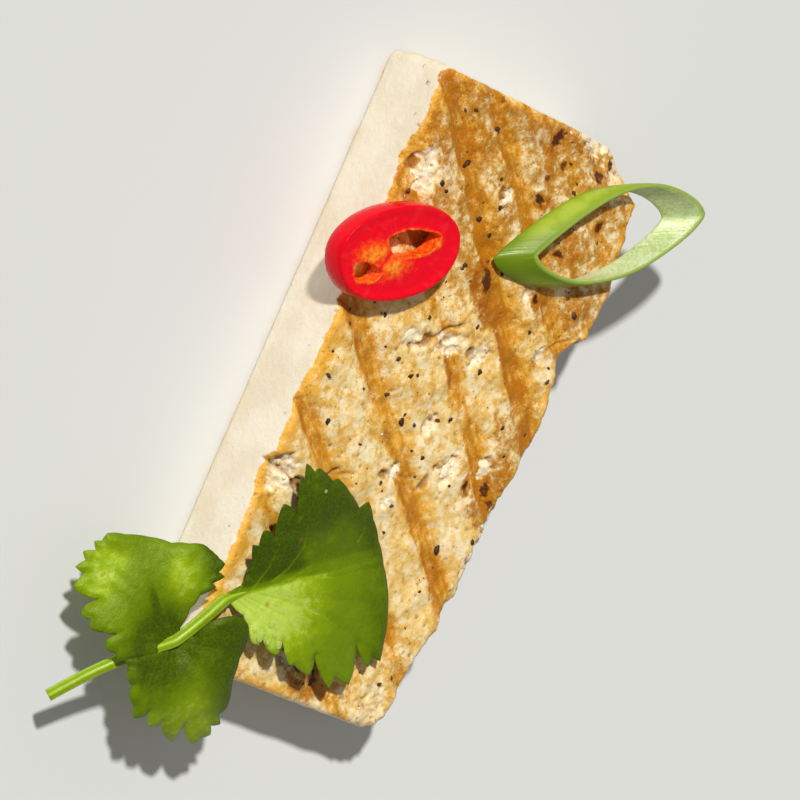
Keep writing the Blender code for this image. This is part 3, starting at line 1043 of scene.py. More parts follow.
    side_spots: tuple[tuple[float, ...], ...] = (  # x, height, radius
        (-50.2, 13.2, 0.75),
        (-43.2, 15.0, 0.55),
        (-44.6, 13.4, 0.45),
        (-52.6, 10.4, 0.5),
        (-40.6, 14.4, 0.40),
        (-2.4, 12.0, 0.35),
        (9.6, 13.4, 0.35),
        (30.5, 11.8, 0.40),
        (-21.0, 9.5, 0.30),
    )
    noise: Noise = Noise(11)

    def level(self, x: np.ndarray) -> np.ndarray:
        """Gives the top's level before any relief."""
        return self.thickness - self.taper * x

    def back(self, x: np.ndarray) -> np.ndarray:
        """Gives the torn side's upper edge, as y for each x."""
        xs, ys = (np.array(part) for part in zip(*self.back_edge))
        i = np.clip(np.searchsorted(xs, x) - 1, 0, len(xs) - 2)
        share = np.clip((x - xs[i]) / (xs[i + 1] - xs[i]), 0, 1)
        share = (1 - np.cos(math.pi * share)) / 2
        ragged = 0.45 * MM * self.noise.layered(stacked(x, 0.0), 3.2 * MM, 3, 0.6)
        return ys[i] + (ys[i + 1] - ys[i]) * share + ragged

    def plan(self, u: np.ndarray, v: np.ndarray, inset: np.ndarray) -> tuple[np.ndarray, np.ndarray]:
        """Places grid positions in plan.

        Args:
            u: Positions along the slab, -1 to 1.
            v: Positions across it, -1 to 1.
            inset: How far the outline is drawn in.

        Returns:
            The x and the y of each.
        """
        x = (self.half_length - inset) * u
        front, back = self.front_y + inset, self.back(x) - inset
        y = front + (back - front) * (v + 1) / 2
        for (sx, sy), radius in self.corner_radii.items():
            a = (sx * x - (self.half_length - inset - radius)) / radius
            b = (sy * y - (sy * (back if sy > 0 else front) - radius)) / radius
            a, b = np.clip(a, 0, 1), np.clip(b, 0, 1)
            x = x + sx * radius * a * (np.sqrt(1 - b * b / 2) - 1) * (b > 0)
            y = y + sy * radius * b * (np.sqrt(1 - a * a / 2) - 1) * (a > 0)
        return x, y

    def marks(self, x: np.ndarray, y: np.ndarray) -> dict[str, np.ndarray]:
        """Finds what the grill and the tearing have done at each place of the top, and where painted shade lies along
        each groove's shaded wall.

        Args:
            x: Places along the slab, in metres.
            y: Places across it.

        Returns:
            Strength of each mark by name, about 0 to 1.
        """
        at = stacked(x, y)
        n, xm, ym = self.noise, x / MM, y / MM
        wobble = 0.45 * n.soft(at, 9 * MM) + 0.40 * n.soft(at, 3.0 * MM) + 0.12 * n.soft(at, 1.0 * MM)
        worn = 0.85 + 0.55 * n.layered(at + 1.0, 7 * MM, 2)
        press, bar, halo, lip = (np.zeros(x.shape) for _ in range(4))
        for one in self.bars:
            off = (one.offset(xm, ym) + wobble) / one.width
            press = np.maximum(press, one.strength * np.exp(-((np.abs(off) / 0.58) ** 4)))
            bar = np.maximum(bar, one.strength * np.exp(-((np.abs(off - 0.06) / 0.56) ** 3)))
            halo = np.maximum(halo, one.strength * np.exp(-(((off + 0.15) / 1.0) ** 2)))
            # Painted shade: a line along the wall of the groove that faces away from the lamp.
            lip = np.maximum(lip, one.strength * np.exp(-(((off - 0.42) / 0.16) ** 2)))
        wander = 0.45 * n.layered(at + 2.0, 2.6 * MM, 3, 0.6)
        ragged = wander + 0.55 * n.layered(at + 8.0, 1.0 * MM, 2)
        front = ym - self.front_y / MM
        back = (self.back(x) - y) / MM
        ends = self.half_length / MM - np.abs(xm)
        swing = 1.6 * n.layered(at + 9.0, 4 * MM, 3, 0.6)
        edge = np.max([smooth(4.6, 0.6, front + 1.3 * swing), 0.8 * smooth(2.8, 0.4, back + swing)], axis=0)
        edge = np.maximum(edge, 0.75 * smooth(2.4, 0.3, ends + swing))
        found = {"press": press * np.clip(worn, 0.4, 1), "bar": np.clip(bar * worn, 0, 1), "lip": lip * worn}
        found["halo"] = np.clip(np.maximum(0.50 * halo * worn, 0.75 * edge * (1 - smooth(12, 24, xm) * (ym > 0))), 0, 1)
        for name, patches, bend in (
            ("torn", self.torn, ragged),
            ("brown", self.browned, wander),
            ("char", self.charred, ragged),
        ):
            found[name] = np.max([p.share(xm, ym, bend) for p in patches], axis=0)
        singed = [replace(p, half_x=1.9 * p.half_x, half_y=1.9 * p.half_y) for p in self.charred]
        around = np.max([0.75 * p.share(xm, ym, wander) for p in singed], axis=0)
        wash = 0.46 * smooth(-10, -34, xm) * (0.8 + 0.5 * n.soft(at + 5.0, 7 * MM))
        found["brown"] = np.max([found["brown"], around, wash], axis=0)
        found["calm"] = smooth(8, 17, xm + wobble) * smooth(41, 33, xm + wobble)
        found["sunk"] = np.max([p.share(xm, ym, 0.5 * wander) for p in self.sunk], axis=0)
        shifted = xm + 0.5 * wobble + 0.25 * n.soft(at + 3.0, 0.9 * MM)
        found["crack"] = np.max([c.depth * c.share(shifted, ym) for c in self.cracks], axis=0)
        return found

    def top(self, x: np.ndarray, y: np.ndarray) -> tuple[np.ndarray, dict[str, np.ndarray]]:
        """Shapes the top.

        Args:
            x: Places along the slab, in metres.
            y: Places across it.

        Returns:
            The top's height, and its marks by name.
        """
        at, n = stacked(x, y), self.noise
        found = self.marks(x, y)
        torn = found["torn"]
        bent = at + 0.8 * MM * stacked(n.soft(at + 11.0, 2.2 * MM), n.soft(at + 12.0, 2.2 * MM))
        lumps = 2.2 * np.abs(n.soft(bent, 3.2 * MM))
        bits = 1 - 2.2 * np.abs(n.soft(bent + 3.0, 1.7 * MM))
        crumbly = np.clip(0.55 * lumps + 0.35 * bits + 0.20 * n.soft(at + 14.0, 0.8 * MM), -0.3, 1.2)
        pit_near, _, pit_kind = n.cells(at + 5.0, 2.6 * MM, flat=True)
        pits = smooth(0.45, 0.70, pit_kind) * smooth(0.04 + 0.11 * pit_kind, 0.015, pit_near)
        relief = 0.26 * n.soft(at, 12 * MM) + 0.42 * n.soft(at + 4.0, 4.5 * MM)
        relief += 0.20 * n.layered(at, 2.0 * MM, 4, 0.62)
        relief += 0.20 * (1 - found["press"]) - self.bar_depth * found["press"] - 0.14
        relief += torn * (1.15 * crumbly - 1.15)
        relief -= 0.45 * pits + 0.9 * found["sunk"] + found["crack"] + 0.15 * found["char"]
        for cx, cy, rx, ry, deep in self.chips:
            reach = ((x / MM - cx) / rx) ** 2 + ((y / MM - cy) / ry) ** 2 + 0.3 * n.layered(at + 6.0, 3 * MM, 2)
            relief -= deep * np.sqrt(np.clip(1 - reach, 0, 1))
        # Painted shade: low spots of torn curd, pits, sunk places and cracks are marked to be painted darker.
        low = smooth(0.30, 0.02, crumbly) * smooth(0.15, 0.5, torn)
        found["hole"] = np.clip(1.1 * pits + 0.9 * found["sunk"] + 1.1 * found["crack"] + 0.9 * low, 0, 1)
        return self.level(x) + np.minimum(relief, 0.42) * MM, found

    def build(self, finish: bpy.types.Material) -> bpy.types.Object:
        """Makes the slab.

        Args:
            finish: Its material.

        Returns:
            The slab.
        """
        n = self.noise
        shell, quads, ring = lidded_wall(self.cells)
        u, v, w = 2 * shell[:, 0] - 1, 2 * shell[:, 1] - 1, shell[:, 2]
        share = 1 - (1 - w) ** 1.2
        full = self.level(self.half_length * u)
        drop, height = full * (1 - share), full * share
        rim = 1 - np.sqrt(1 - (1 - np.minimum(drop / self.rim[1], 1)) ** 2)
        foot = 1 - np.sqrt(1 - (1 - np.minimum(height / self.foot[1], 1)) ** 2)
        inset = self.rim[0] * rim + self.foot[0] * foot - self.belly * np.sin(math.pi * share)
        x, y = self.plan(u, v, inset)
        top, found = self.top(x, y)
        y = y + self.torn_flare * (1 - share) * np.cos(math.pi * u / 2) * (v == 1) * (w < 1)
        points = stacked(x, y, top * share)

        wall = smooth(0.1 * MM, 1.2 * MM, top - points[:, 2]) * smooth(0.0, 0.9 * MM, points[:, 2])
        facing = normals(points, quads)
        rough = np.clip(1.2 * smooth(0.2, 0.7, facing[:, 1]) + 0.35 * np.abs(facing[:, 0]), 0, 1)
        near, far, _ = n.cells(points, 2.2 * MM)
        split = np.exp(-(((far - near) / 0.15) ** 2))
        crumb = 0.45 * n.layered(points, 3.5 * MM, 4, 0.6) - 0.25 * split + 0.2 * (0.5 - near)
        even = 0.06 * n.layered(points, 7 * MM, 3, 0.5)
        points += facing * (wall * MM * (rough * crumb + (1 - rough) * even))[:, None]
        points[ring, 2] = 0.0

        depth = (top - points[:, 2]) / MM
        edge = 0.55 * n.layered(points + 7.0, 2.5 * MM, 4, 0.6)
        low = points[:, 2] / MM
        spots = np.zeros(len(x))
        for sx, sz, radius in self.side_spots:
            gap = np.hypot(points[:, 0] / MM - sx, low - sz) / radius + 0.4 * n.soft(points, 0.6 * MM)
            spots = np.maximum(spots, smooth(1.2, 0.5, gap) * smooth(-0.3, -0.8, facing[:, 1]))
        on_top = smooth(1.5, 0.5, depth)
        marks = {name: found[name] * on_top for name in ("halo", "bar", "lip", "brown", "torn", "calm")}
        marks["skin"] = np.maximum(smooth(1.1, 0.3, depth + edge), smooth(0.9, 0.2, low + edge))
        marks["char"] = np.maximum(found["char"] * on_top, 0.6 * spots)
        # Painted shade in the crevices between the lumps of the rough walls too.
        marks["hole"] = np.maximum(found["hole"] * on_top, 0.5 * wall * rough * split)
        marks["crumb"] = wall * rough

        step, bottom = 1.2 * MM, points[ring]
        under = [(a, b) for a in np.arange(-0.0534, 0.0535, step) for b in np.arange(-0.0244, 0.028, step)]
        under = np.array(under)
        clear = np.min([np.hypot(*(under - p).T) for p in bottom[:, :2]], axis=0)
        under = under[(clear > 0.6 * step) & (under[:, 1] < self.back(under[:, 0]))]
        faces = filled(bottom[:, :2], under)
        where = np.concatenate([ring, len(points) + np.arange(len(under))])
        faces = where[faces[:, ::-1]]
        lower = self.marks(under[:, 0], under[:, 1])
        points = np.concatenate([points, stacked(under[:, 0], under[:, 1], 0.0)])
        slab = new_mesh("grilled_tofu_slab", points, quads.tolist() + faces.tolist())
        plain = {"skin": np.ones(len(under))}
        for name, values in marks.items():
            extra = plain.get(name, lower.get(name, np.zeros(len(under))) if name in ("halo", "bar", "lip", "brown") else None)
            marks[name] = np.concatenate([values, np.zeros(len(under)) if extra is None else extra])
        mark(slab, marks)
        slab.data.materials.append(finish)
        return slab


# ---------------------------------------------------------------- the garnish


@dataclass(frozen=True)
class Seat:
    """Where a piece of garnish lies on the slab's top."""

    x: float
    y: float
    turn: float
    lift: float = 0.0006

    def put(self, points: np.ndarray, slab: TofuSlab) -> np.ndarray:
        """Moves a piece from its own axes to its place on the slab.

        Args:
            points: Its points, in its own axes.
            slab: The slab it lies on.

        Returns:
            The points in the model's frame.
        """
        level = float(slab.level(np.array(self.x)))
        turn = Matrix.Rotation(math.atan(slab.taper), 3, "Y") @ Matrix.Rotation(self.turn, 3, "Z")
        return points @ np.array(turn).T + (self.x, self.y, level + self.lift)


@dataclass(frozen=True)
class Oval:
    """A filled-out oval in plan, in metres."""

    x: float
    y: float
    half_x: float
    half_y: float
    turn: float = 0.0
    squareness: float = 2.0
    wobble: float = 0.0

    def reach(self, angle: np.ndarray) -> np.ndarray:
        """Gives its edge's reach at each angle, as a share of its half widths."""
        plain = np.abs(np.cos(angle)) ** self.squareness + np.abs(np.sin(angle)) ** self.squareness
        return plain ** (-1 / self.squareness) * (1 + self.wobble * (np.sin(3 * angle + 0.7) + 0.6 * np.sin(5 * angle)))

    def outline(self, z: float, steps: int, grow: float = 0.0, slide: float = 0.0) -> np.ndarray:
        """Gives its edge as a ring of points.

        Args:
            z: The ring's height.
            steps: How many points it has.
            grow: How much wider each half is.
            slide: How far it is moved along x.

        Returns:
            Rows of points.
        """
        angle = 2 * math.pi * np.arange(steps) / steps
        reach = self.reach(angle)
        along = (self.half_x + grow) * reach * np.cos(angle)
        across = (self.half_y + grow) * reach * np.sin(angle)
        x = self.x + slide + along * math.cos(self.turn) - across * math.sin(self.turn)
        y = self.y + along * math.sin(self.turn) + across * math.cos(self.turn)
        return stacked(x, y, z)

    def beyond(self, x: np.ndarray, y: np.ndarray) -> np.ndarray:
        """Gives roughly how far each place is outside its edge, below 0 inside it."""
        along = (x - self.x) * math.cos(self.turn) + (y - self.y) * math.sin(self.turn)
        across = (y - self.y) * math.cos(self.turn) - (x - self.x) * math.sin(self.turn)
        angle = np.arctan2(across / self.half_y, along / self.half_x)
        edge = self.reach(angle)
        share = np.hypot(along / self.half_x, across / self.half_y) / edge
        return np.hypot(along, across) * (1 - 1 / np.maximum(share, 1e-6))


@dataclass
class ChilliRing:
    """A slanting cut through a red chilli, with two seed chambers."""

    seat: Seat = Seat(-0.0222, -0.0218, math.radians(117.5))
    skin: Oval = Oval(0, 0, 0.0122, 0.0080, squareness=2.15, wobble=0.008)
    chambers: tuple[Oval, ...] = (
        Oval(0.0031, 0.0013, 0.0052, 0.0024, math.radians(-4), 2.4, 0.06),
        Oval(-0.0062, -0.0024, 0.0029, 0.0017, math.radians(-18), 2.4, 0.06),
    )
    pulp: tuple[tuple[float, float, float, float], ...] = (  # x, y, half x, half y, in millimetres
        (-4.8, 0.6, 4.4, 2.3),
        (-1.0, -2.1, 4.0, 2.3),
        (8.2, 0.8, 0.9, 1.4),
    )
    thickness: float = 0.0036
    lean: float = 0.0008
    bulge: float = 0.0004
    voxel: float = 0.00017
    noise: Noise = Noise(23)

    def blank(self) -> tuple[np.ndarray, np.ndarray]:
        """Cuts the chambers out of the plain ring and gives it an even mesh.

        Returns:
            Points and quads.
        """
        levels = np.linspace(0, 1, 13)
        rings = [
            self.skin.outline(self.thickness * s, 160, self.bulge * math.sin(math.pi * s), self.lean * (s - 0.5))
            for s in levels
        ]
        ring = new_mesh("chilli_blank", *lofted(rings))
        cutters = []
        for oval in self.chambers:
            walls = [oval.outline(z, 90) for z in (-self.thickness, 2 * self.thickness)]
            cutter = new_mesh("chilli_cutter", *lofted(walls))
            step = ring.modifiers.new("cut", "BOOLEAN")
            step.operation, step.object = "DIFFERENCE", cutter
            cutters.append(cutter)
        step = ring.modifiers.new("even", "REMESH")
        step.mode, step.voxel_size = "VOXEL", self.voxel
        step = ring.modifiers.new("ease", "SMOOTH")
        step.factor, step.iterations = 0.5, 3
        ready = ring.evaluated_get(bpy.context.evaluated_depsgraph_get())
        mesh = ready.to_mesh()
        points = np.array([v.co for v in mesh.vertices])
        quads = np.array([tuple(p.vertices) for p in mesh.polygons])
        ready.to_mesh_clear()
        for thing in (ring, *cutters):
            bpy.data.objects.remove(thing)
        return points, quads

    def build(self, slab: TofuSlab, finish: bpy.types.Material) -> bpy.types.Object:
        """Makes the ring.

        Args:
            slab: The slab it lies on.
            finish: Its material.

        Returns:
            The ring.
        """
        n = self.noise
        points, quads = self.blank()
        facing = normals(points, quads)
        x, y, level = points[:, 0], points[:, 1], points[:, 2] / self.thickness
        depth = -self.skin.beyond(x - self.lean * (level - 0.5), y) / MM
        hollow = np.min([oval.beyond(x, y) for oval in self.chambers], axis=0) / MM
        flat = smooth(0.6, 0.95, np.abs(facing[:, 2]))
        pulp = [np.exp(-(((x / MM - px) / hx) ** 2) - ((y / MM - py) / hy) ** 2) for px, py, hx, hy in self.pulp]
        wall = np.exp(-(((x / MM + 2.5 - 0.9 * (y / MM + 1.0)) / 0.45) ** 2)) * smooth(3.0, 1.5, np.abs(y / MM + 1.0))
        pith = np.max([0.75 * np.exp(-((np.maximum(hollow, 0) / 0.45) ** 2)), *pulp], axis=0) * (1 - 0.7 * wall)
        angle = np.arctan2(y / self.skin.half_y, x / self.skin.half_x)
        rays = stacked(6 * np.cos(angle), 6 * np.sin(angle), depth * 0.45)
        streak = 0.5 + 0.5 * n.layered(rays, 0.9, 3, 0.6)
        sunk = -0.20 * smooth(0.4, 1.8, depth) * (1 - pith) + 0.04 * (streak - 0.5)
        pulpy = 0.22 * n.layered(points, 1.3 * MM, 3, 0.6)
        points += facing * (MM * flat * (sunk + pith * (0.05 + pulpy)))[:, None]
        inner = (1 - flat) * smooth(0.8, 0.2, hollow)
        points += facing * (MM * inner * (0.1 + 0.9 * pulpy * 1.3))[:, None]
        points += facing * (MM * (1 - flat) * smooth(0.5, 0.1, depth) * 0.05 * n.soft(points, 4 * MM))[:, None]
        ring = new_mesh("sliced_chilli_ring", self.seat.put(points, slab), quads)
        red = smooth(0.42, 0.12, depth) * (1 - 0.5 * flat)
        mark(ring, {"skin": np.clip(red, 0, 1), "pith": np.clip(pith, 0, 1), "streak": streak})
        ring.data.materials.append(finish)
        return ring


@dataclass
class OnionLoop:
    """A slanting cut through a spring onion leaf: a thin wall that leans along the leaf."""

    seat: Seat = Seat(-0.0283, 0.0010, math.radians(121.6))
    length: float = 0.0352
    sides: tuple[tuple[float, float, float], ...] = ((0.0074, 1.36, 0.68), (0.0071, 0.87, 0.72))
    slide: float = 0.0066
    height: float = 0.0034
    wall: float = 0.0008
    steps: int = 560
    noise: Noise = Noise(37)

    def inner_edge(self) -> np.ndarray:
        """Gives the hollow's outline, as rows of x and y from the near tip round."""
        angle = 2 * math.pi * np.arange(self.steps) / self.steps
        along = (1 - np.cos(angle)) / 2
        rows = []
        for a, s in zip(angle, along):
            half_width, skew, fullness = self.sides[0] if a < math.pi else self.sides[1]
            across = half_width * max(0.0, math.sin(math.pi * s**skew)) ** fullness
            rows.append((self.length * s, across if a < math.pi else -across))
        return np.array(rows)

    def profile(self) -> list[tuple[float, float, float]]:
        """Gives the wall's section.

        Returns:
            Each point's share of the wall's thickness, level from 0 to 1, and how far it is on the inner side.
        """
        levels = np.linspace(0.05, 0.95, 13)
        outer = [(1 + 0.3 * math.sin(math.pi * s), s, 0.0) for s in levels]
        inner = [(-0.05 * math.sin(math.pi * s), s, 1.0) for s in levels[::-1]]
        over = [(0.85, 0.985, 0.2), (0.5, 1.0, 0.5), (0.15, 0.985, 0.8)]
        under = [(0.15, 0.015, 0.8), (0.5, 0.0, 0.5), (0.85, 0.015, 0.2)]
        return outer + over + inner + under

    def build(self, slab: TofuSlab, finish: bpy.types.Material) -> bpy.types.Object:
        """Makes the loop.

        Args:
            slab: The slab it lies on.
            finish: Its material.

        Returns:
            The loop.
        """
        n = self.noise
        inner = self.inner_edge()
        window = 1 + self.steps // 90
        run = np.roll(inner, -window, axis=0) - np.roll(inner, window, axis=0)
        out = np.stack([-run[:, 1], run[:, 0]], axis=1) / np.linalg.norm(run, axis=1, keepdims=True)
        around = np.concatenate([[0], np.cumsum(np.linalg.norm(np.diff(inner, axis=0), axis=1))])
        ribs = 0.030 * n.layered(stacked(around, 0.0), 0.7 * MM, 3, 0.6)
        rings, marks = [], {"inner": [], "rim": [], "around": [], "rise": [], "band": [], "tip": []}
        for wall, level, inside in self.profile():
            wave = 0.15 * MM * n.soft(stacked(around, level * 4 * MM), 8 * MM)
            edge = inner + out * (self.wall * wall + MM * ribs * (1 - 2 * inside) + wave)[:, None]
            lift = 0.10 * MM * n.soft(stacked(around, 0.0, 1.0), 5 * MM) * level
            rings.append(stacked(edge[:, 0] + self.slide * level, edge[:, 1], self.height * level + lift))
            for name, value in (("inner", inside), ("rim", float(0.0 < inside < 1.0)), ("rise", level * self.height)):
                marks[name].append(np.full(self.steps, value))
            marks["around"].append(around)
            # Painted light across the middle of the wall's height, painted shade towards its edges.
            marks["band"].append(np.full(self.steps, math.sin(math.pi * level) ** 0.7))
            marks["tip"].append(np.exp(-((inner[:, 0] / (5 * MM)) ** 2)))
        points, faces = lofted(rings + rings[:1], capped=False)
        count = len(rings) * self.steps
        faces = np.array(faces) % count
        loop = new_mesh("spring_onion_slice", self.seat.put(points[:count], slab), faces)
        mark(loop, {name: np.concatenate(rows) for name, rows in marks.items()})
        loop.data.materials.append(finish)
        return loop


@dataclass(frozen=True)
class Leaflet:
    """One toothed leaflet of the sprig, in its own axes. Lengths in millimetres, turns in degrees."""

    name: str
    base: Pair  # from the junction, along the model's x and y
    axis: float
    length: float
    fold: float
    corners: tuple[Pair, ...]  # along and across its axis, from its base round to it again
    veins: tuple[tuple[Pair, ...], ...]
    crown: float = 0.05  # how far the margin bows out between two corners, as a share of their distance

    def margin(self, step: float = 0.2) -> np.ndarray:
        """Gives its outline.

        Args:
            step: Distance between the outline's points.

        Returns:
            Rows of along and across, going round once.
        """
        rows = []
        corners = np.array(self.corners)
        onward = np.roll(corners, -1, axis=0)
        way = np.sign((corners[:, 1] * onward[:, 0] - corners[:, 0] * onward[:, 1]).sum())
        for start, end in zip(corners, onward):
            run = end - start
            length = math.hypot(*run)
            share = np.linspace(0, 1, max(2, round(length / step)), endpoint=False)[:, None]
            bow = way * self.crown * min(1.0, 3.0 / length) * np.sin(math.pi * share)
            rows.append(start + run * share + np.array((-run[1], run[0])) * bow)
        return np.concatenate(rows)


@dataclass
class CorianderSprig:
    """A stalk that carries three leaflets and hangs over the slab's front corner."""

    junction: Pair = (0.0515, -0.0290)
    stem_turn: float = math.radians(-43)
    stem_length: float = 0.0220
    stem_bend: float = 0.0012
    stem_radius: float = 0.00105
    petiole_radius: float = 0.00115
    rib_length: float = 0.0095
    rib_radius: float = 0.00022
    lift: float = 0.0012
    arch: float = 0.0022
    rest: float = 0.0006
    droop: float = 24.0
    droop_ease: float = 0.020
    draw: float = 0.84  # how far a rise of the blade draws it back across the slab, as a share of the rise
    thickness: float = 0.00028
    leaflets: tuple[Leaflet, ...] = (
        Leaflet(
            "terminal",
            (-10.1, 7.0),
            122,
            32.0,
            0.27,
            (
                (-0.4, 1.0), (2.8, 1.5), (3.8, 3.2), (5.0, 5.8), (5.1, 8.3), (6.3, 7.8), (7.4, 10.2), (8.5, 9.9),
                (9.7, 8.6), (10.9, 12.6), (11.7, 13.9), (13.0, 13.1), (14.3, 11.2), (14.8, 14.2), (15.3, 17.9),
                (16.2, 17.0), (16.5, 19.9), (18.1, 18.0), (19.1, 18.4), (21.7, 15.4), (22.7, 15.6), (24.7, 12.9),
                (26.8, 9.3), (28.8, 9.9), (29.5, 6.5), (30.4, 2.5), (31.4, -2.5), (32.2, -7.5), (31.8, -12.0),
                (31.1, -15.8), (30.1, -19.6), (28.6, -18.4), (27.5, -20.0), (26.4, -18.2), (25.3, -15.0),
                (25.1, -17.8), (23.5, -22.1), (20.7, -19.9), (19.4, -21.6), (17.9, -18.6), (16.8, -15.0),
                (16.4, -17.0), (15.5, -18.2), (12.7, -15.4), (11.6, -15.0), (10.5, -10.7), (9.3, -12.7), (7.8, -11.7),
                (6.6, -9.0), (5.7, -10.0), (4.4, -9.1), (3.7, -5.8), (2.6, -3.8), (0.2, -1.2), (-0.4, -0.8),
            ),
            (
                ((-1.0, 0), (2.7, 0.3), (7.4, 0.1), (10.5, 0.2), (13.6, 0.8), (16.5, 1.7), (18.6, 3.2), (20, 5.4), (21, 9.5)),
                ((11.5, 0.4), (18.0, -0.5), (21.0, -0.8), (27.0, -0.6), (31.0, -0.4)),
                ((8.5, 0.9), (11.8, 2.3), (15.2, 5.5), (16.6, 11.0), (16.4, 17.0)),
                ((4.5, 0.6), (8.0, 3.5), (10.5, 7.5), (11.5, 12.5)),
                ((17.5, -0.7), (21.2, -1.8), (25.5, -2.0), (31.0, -2.4)),
                ((5.7, -0.6), (12.4, -3.6), (18.5, -5.2), (30.5, -9.0)),
                ((3.0, -0.3), (9.0, -4.6), (16.5, -10.0), (22.8, -20.0)),
                ((2.0, -0.3), (6.2, -3.6), (10.6, -8.6), (15.4, -16.5)),
                ((1.0, -0.3), (4.2, -3.4), (7.4, -7.2), (9.2, -11.6)),
                ((10.0, -2.6), (18.5, -8.0), (28.0, -17.6)),
                ((1.0, 0.2), (3.6, 2.4), (6.4, 7.2)),
                ((26.0, 3.6), (27.2, 4.8), (28.2, 7.8)),
            ),
        ),
        Leaflet(
            "front",
            (0.0, 0.0),
            -134,
            22.0,
            0.20,
            (
                (0.0, -0.6), (1.8, -1.8), (4.0, -4.6), (5.2, -7.3), (5.0, -10.6), (6.0, -10.2), (6.0, -12.6),
                (7.3, -11.8), (8.2, -13.2), (9.6, -12.5), (11.0, -11.8), (12.2, -11.1), (13.6, -10.2), (15.0, -7.8),
                (16.7, -4.7), (20.0, -0.8), (22.5, 3.2), (24.5, 6.4), (23.8, 7.8), (24.4, 9.2), (22.8, 9.4),
                (23.9, 11.8), (22.2, 11.8), (22.0, 13.9), (20.0, 12.6), (18.8, 15.2), (16.8, 14.2), (14.2, 11.2),
                (14.6, 13.8), (13.6, 15.2), (11.6, 13.6), (10.2, 14.1), (8.4, 12.0), (6.8, 9.6), (6.8, 11.8),
                (5.4, 12.4), (3.8, 10.9), (2.0, 10.6), (-0.4, 5.3), (-0.8, 0.4),
            ),
            (
                ((0.2, 0.3), (4.5, 0.2), (9.6, 0.4), (15.0, 2.6), (22.5, 7.2)),
                ((0.4, 0), (3.2, -0.7), (7.5, -1.6), (13.0, -2.0), (17.0, -2.2)),
                ((0.4, -0.3), (2.8, -2.0), (5.0, -4.6), (7.0, -7.6), (8.1, -12.2)),
                ((1.0, 0.8), (7.9, 3.9), (14.0, 8.0), (18.6, 14.0)),
                ((0.8, 1.2), (5.2, 5.2), (10.6, 13.0)),
                ((0.4, 1.4), (2.9, 6.0), (5.3, 11.4)),
                ((3.0, 0.4), (9.0, 2.8), (15.6, 6.2), (22.6, 11.2)),
                ((2.0, -1.0), (5.5, -3.0), (9.5, -5.4), (12.8, -8.6)),
            ),
        ),
        Leaflet(
            "end",
            (0.0, 0.0),
            46,
            20.5,
            0.20,
            (
                (-0.8, -0.6), (0.4, -2.5), (-2.0, -9.6), (-0.2, -9.0), (1.8, -9.9), (3.4, -9.4), (5.2, -10.5),
                (7.2, -10.2), (9.2, -10.9), (10.0, -9.0), (9.7, -7.9), (11.8, -8.7), (13.0, -7.6), (12.7, -6.2),
                (14.8, -6.7), (17.2, -5.6), (16.6, -4.0), (15.4, -2.2), (17.8, -2.7), (19.7, -2.0), (19.4, -0.2),
                (19.8, 1.6), (18.2, 2.2), (19.0, 4.0), (17.1, 4.2), (16.6, 6.2), (12.6, 8.8), (9.4, 11.2),
                (7.0, 13.2), (5.0, 14.2), (2.9, 13.7), (1.2, 11.6), (0.5, 9.0), (0.6, 6.7), (1.3, 4.2), (0.8, 1.9), (-0.6, 0.5),
            ),
            (
                ((0.2, -0.2), (6.1, -0.4), (11.3, 1.2), (18.6, 2.0)),
                ((0.2, -0.6), (6.3, -3.2), (11.0, -4.2), (16.4, -4.9)),
                ((0.2, -1.0), (4.5, -5.2), (8.2, -7.0), (12.4, -8.0)),
                ((0.2, -1.0), (2.6, -6.4), (8.2, -10.0)),
                ((0.4, -0.2), (7.3, -1.6), (13.0, -1.6), (19.2, -1.8)),
                ((0.4, 0.4), (7.2, 3.6), (12.0, 5.2), (16.6, 5.4)),
                ((0.4, 0.8), (5.0, 6.6), (8.4, 11.6)),
                ((0.2, 1.0), (2.2, 7.6), (4.1, 13.4)),
                ((0.4, -0.5), (5.4, -2.4), (9.2, -4.6), (13.2, -6.4)),
            ),
        ),
    )
    noise: Noise = Noise(41)

    def drape(self, slab: TofuSlab, x: np.ndarray, y: np.ndarray) -> np.ndarray:
        """Gives the height of the surface that the sprig follows.

        Args:
            slab: The slab it lies on.
            x: Places along the slab.
            y: Places across it.

        Returns:
            Heights: level over the slab, falling away past its edges.
        """
        past_end = np.maximum(0.0, x - (slab.half_length - 0.001))
        past_front = np.maximum(0.0, (slab.front_y + 0.001) - y)
        past = np.hypot(past_end, past_front)
        return slab.level(np.minimum(x, slab.half_length)) - self.droop * past**2 / (1 + past / self.droop_ease)

    def surface(self, slab: TofuSlab, leaf: Leaflet, along: np.ndarray, across: np.ndarray) -> np.ndarray:
        """Gives a leaflet's middle surface.

        Args:
            slab: The slab it lies on.
            leaf: The leaflet.
            along: Places along its axis, in metres.
            across: Places across it.

        Returns:
            Rows of points.
        """
        turn = math.radians(leaf.axis)
        x = self.junction[0] + leaf.base[0] * MM + along * math.cos(turn) - across * math.sin(turn)
        flat = self.junction[1] + leaf.base[1] * MM + along * math.sin(turn) + across * math.cos(turn)
        reach = np.hypot(along, across)
        angle = np.arctan2(across, np.maximum(along, 1e-9))
        share = np.clip(reach / (leaf.length * MM), 0, 1.1)
        raised = leaf.fold * reach * np.abs(np.sin(angle)) ** 1.3 * (1 - 0.55 * share)
        arch = self.arch * np.sin(math.pi * np.clip(share, 0, 1)) ** 1.5
        ripple = 0.0003 * share**2 * (1 + np.sin(9 * angle + 2 * share + turn))
        own = self.lift + raised + arch + ripple
        y = flat
        for _ in range(5):
            height = self.drape(slab, x, y) + own
            y = flat - self.draw * (height - slab.level(x) - self.lift)
        return stacked(x, y, height)

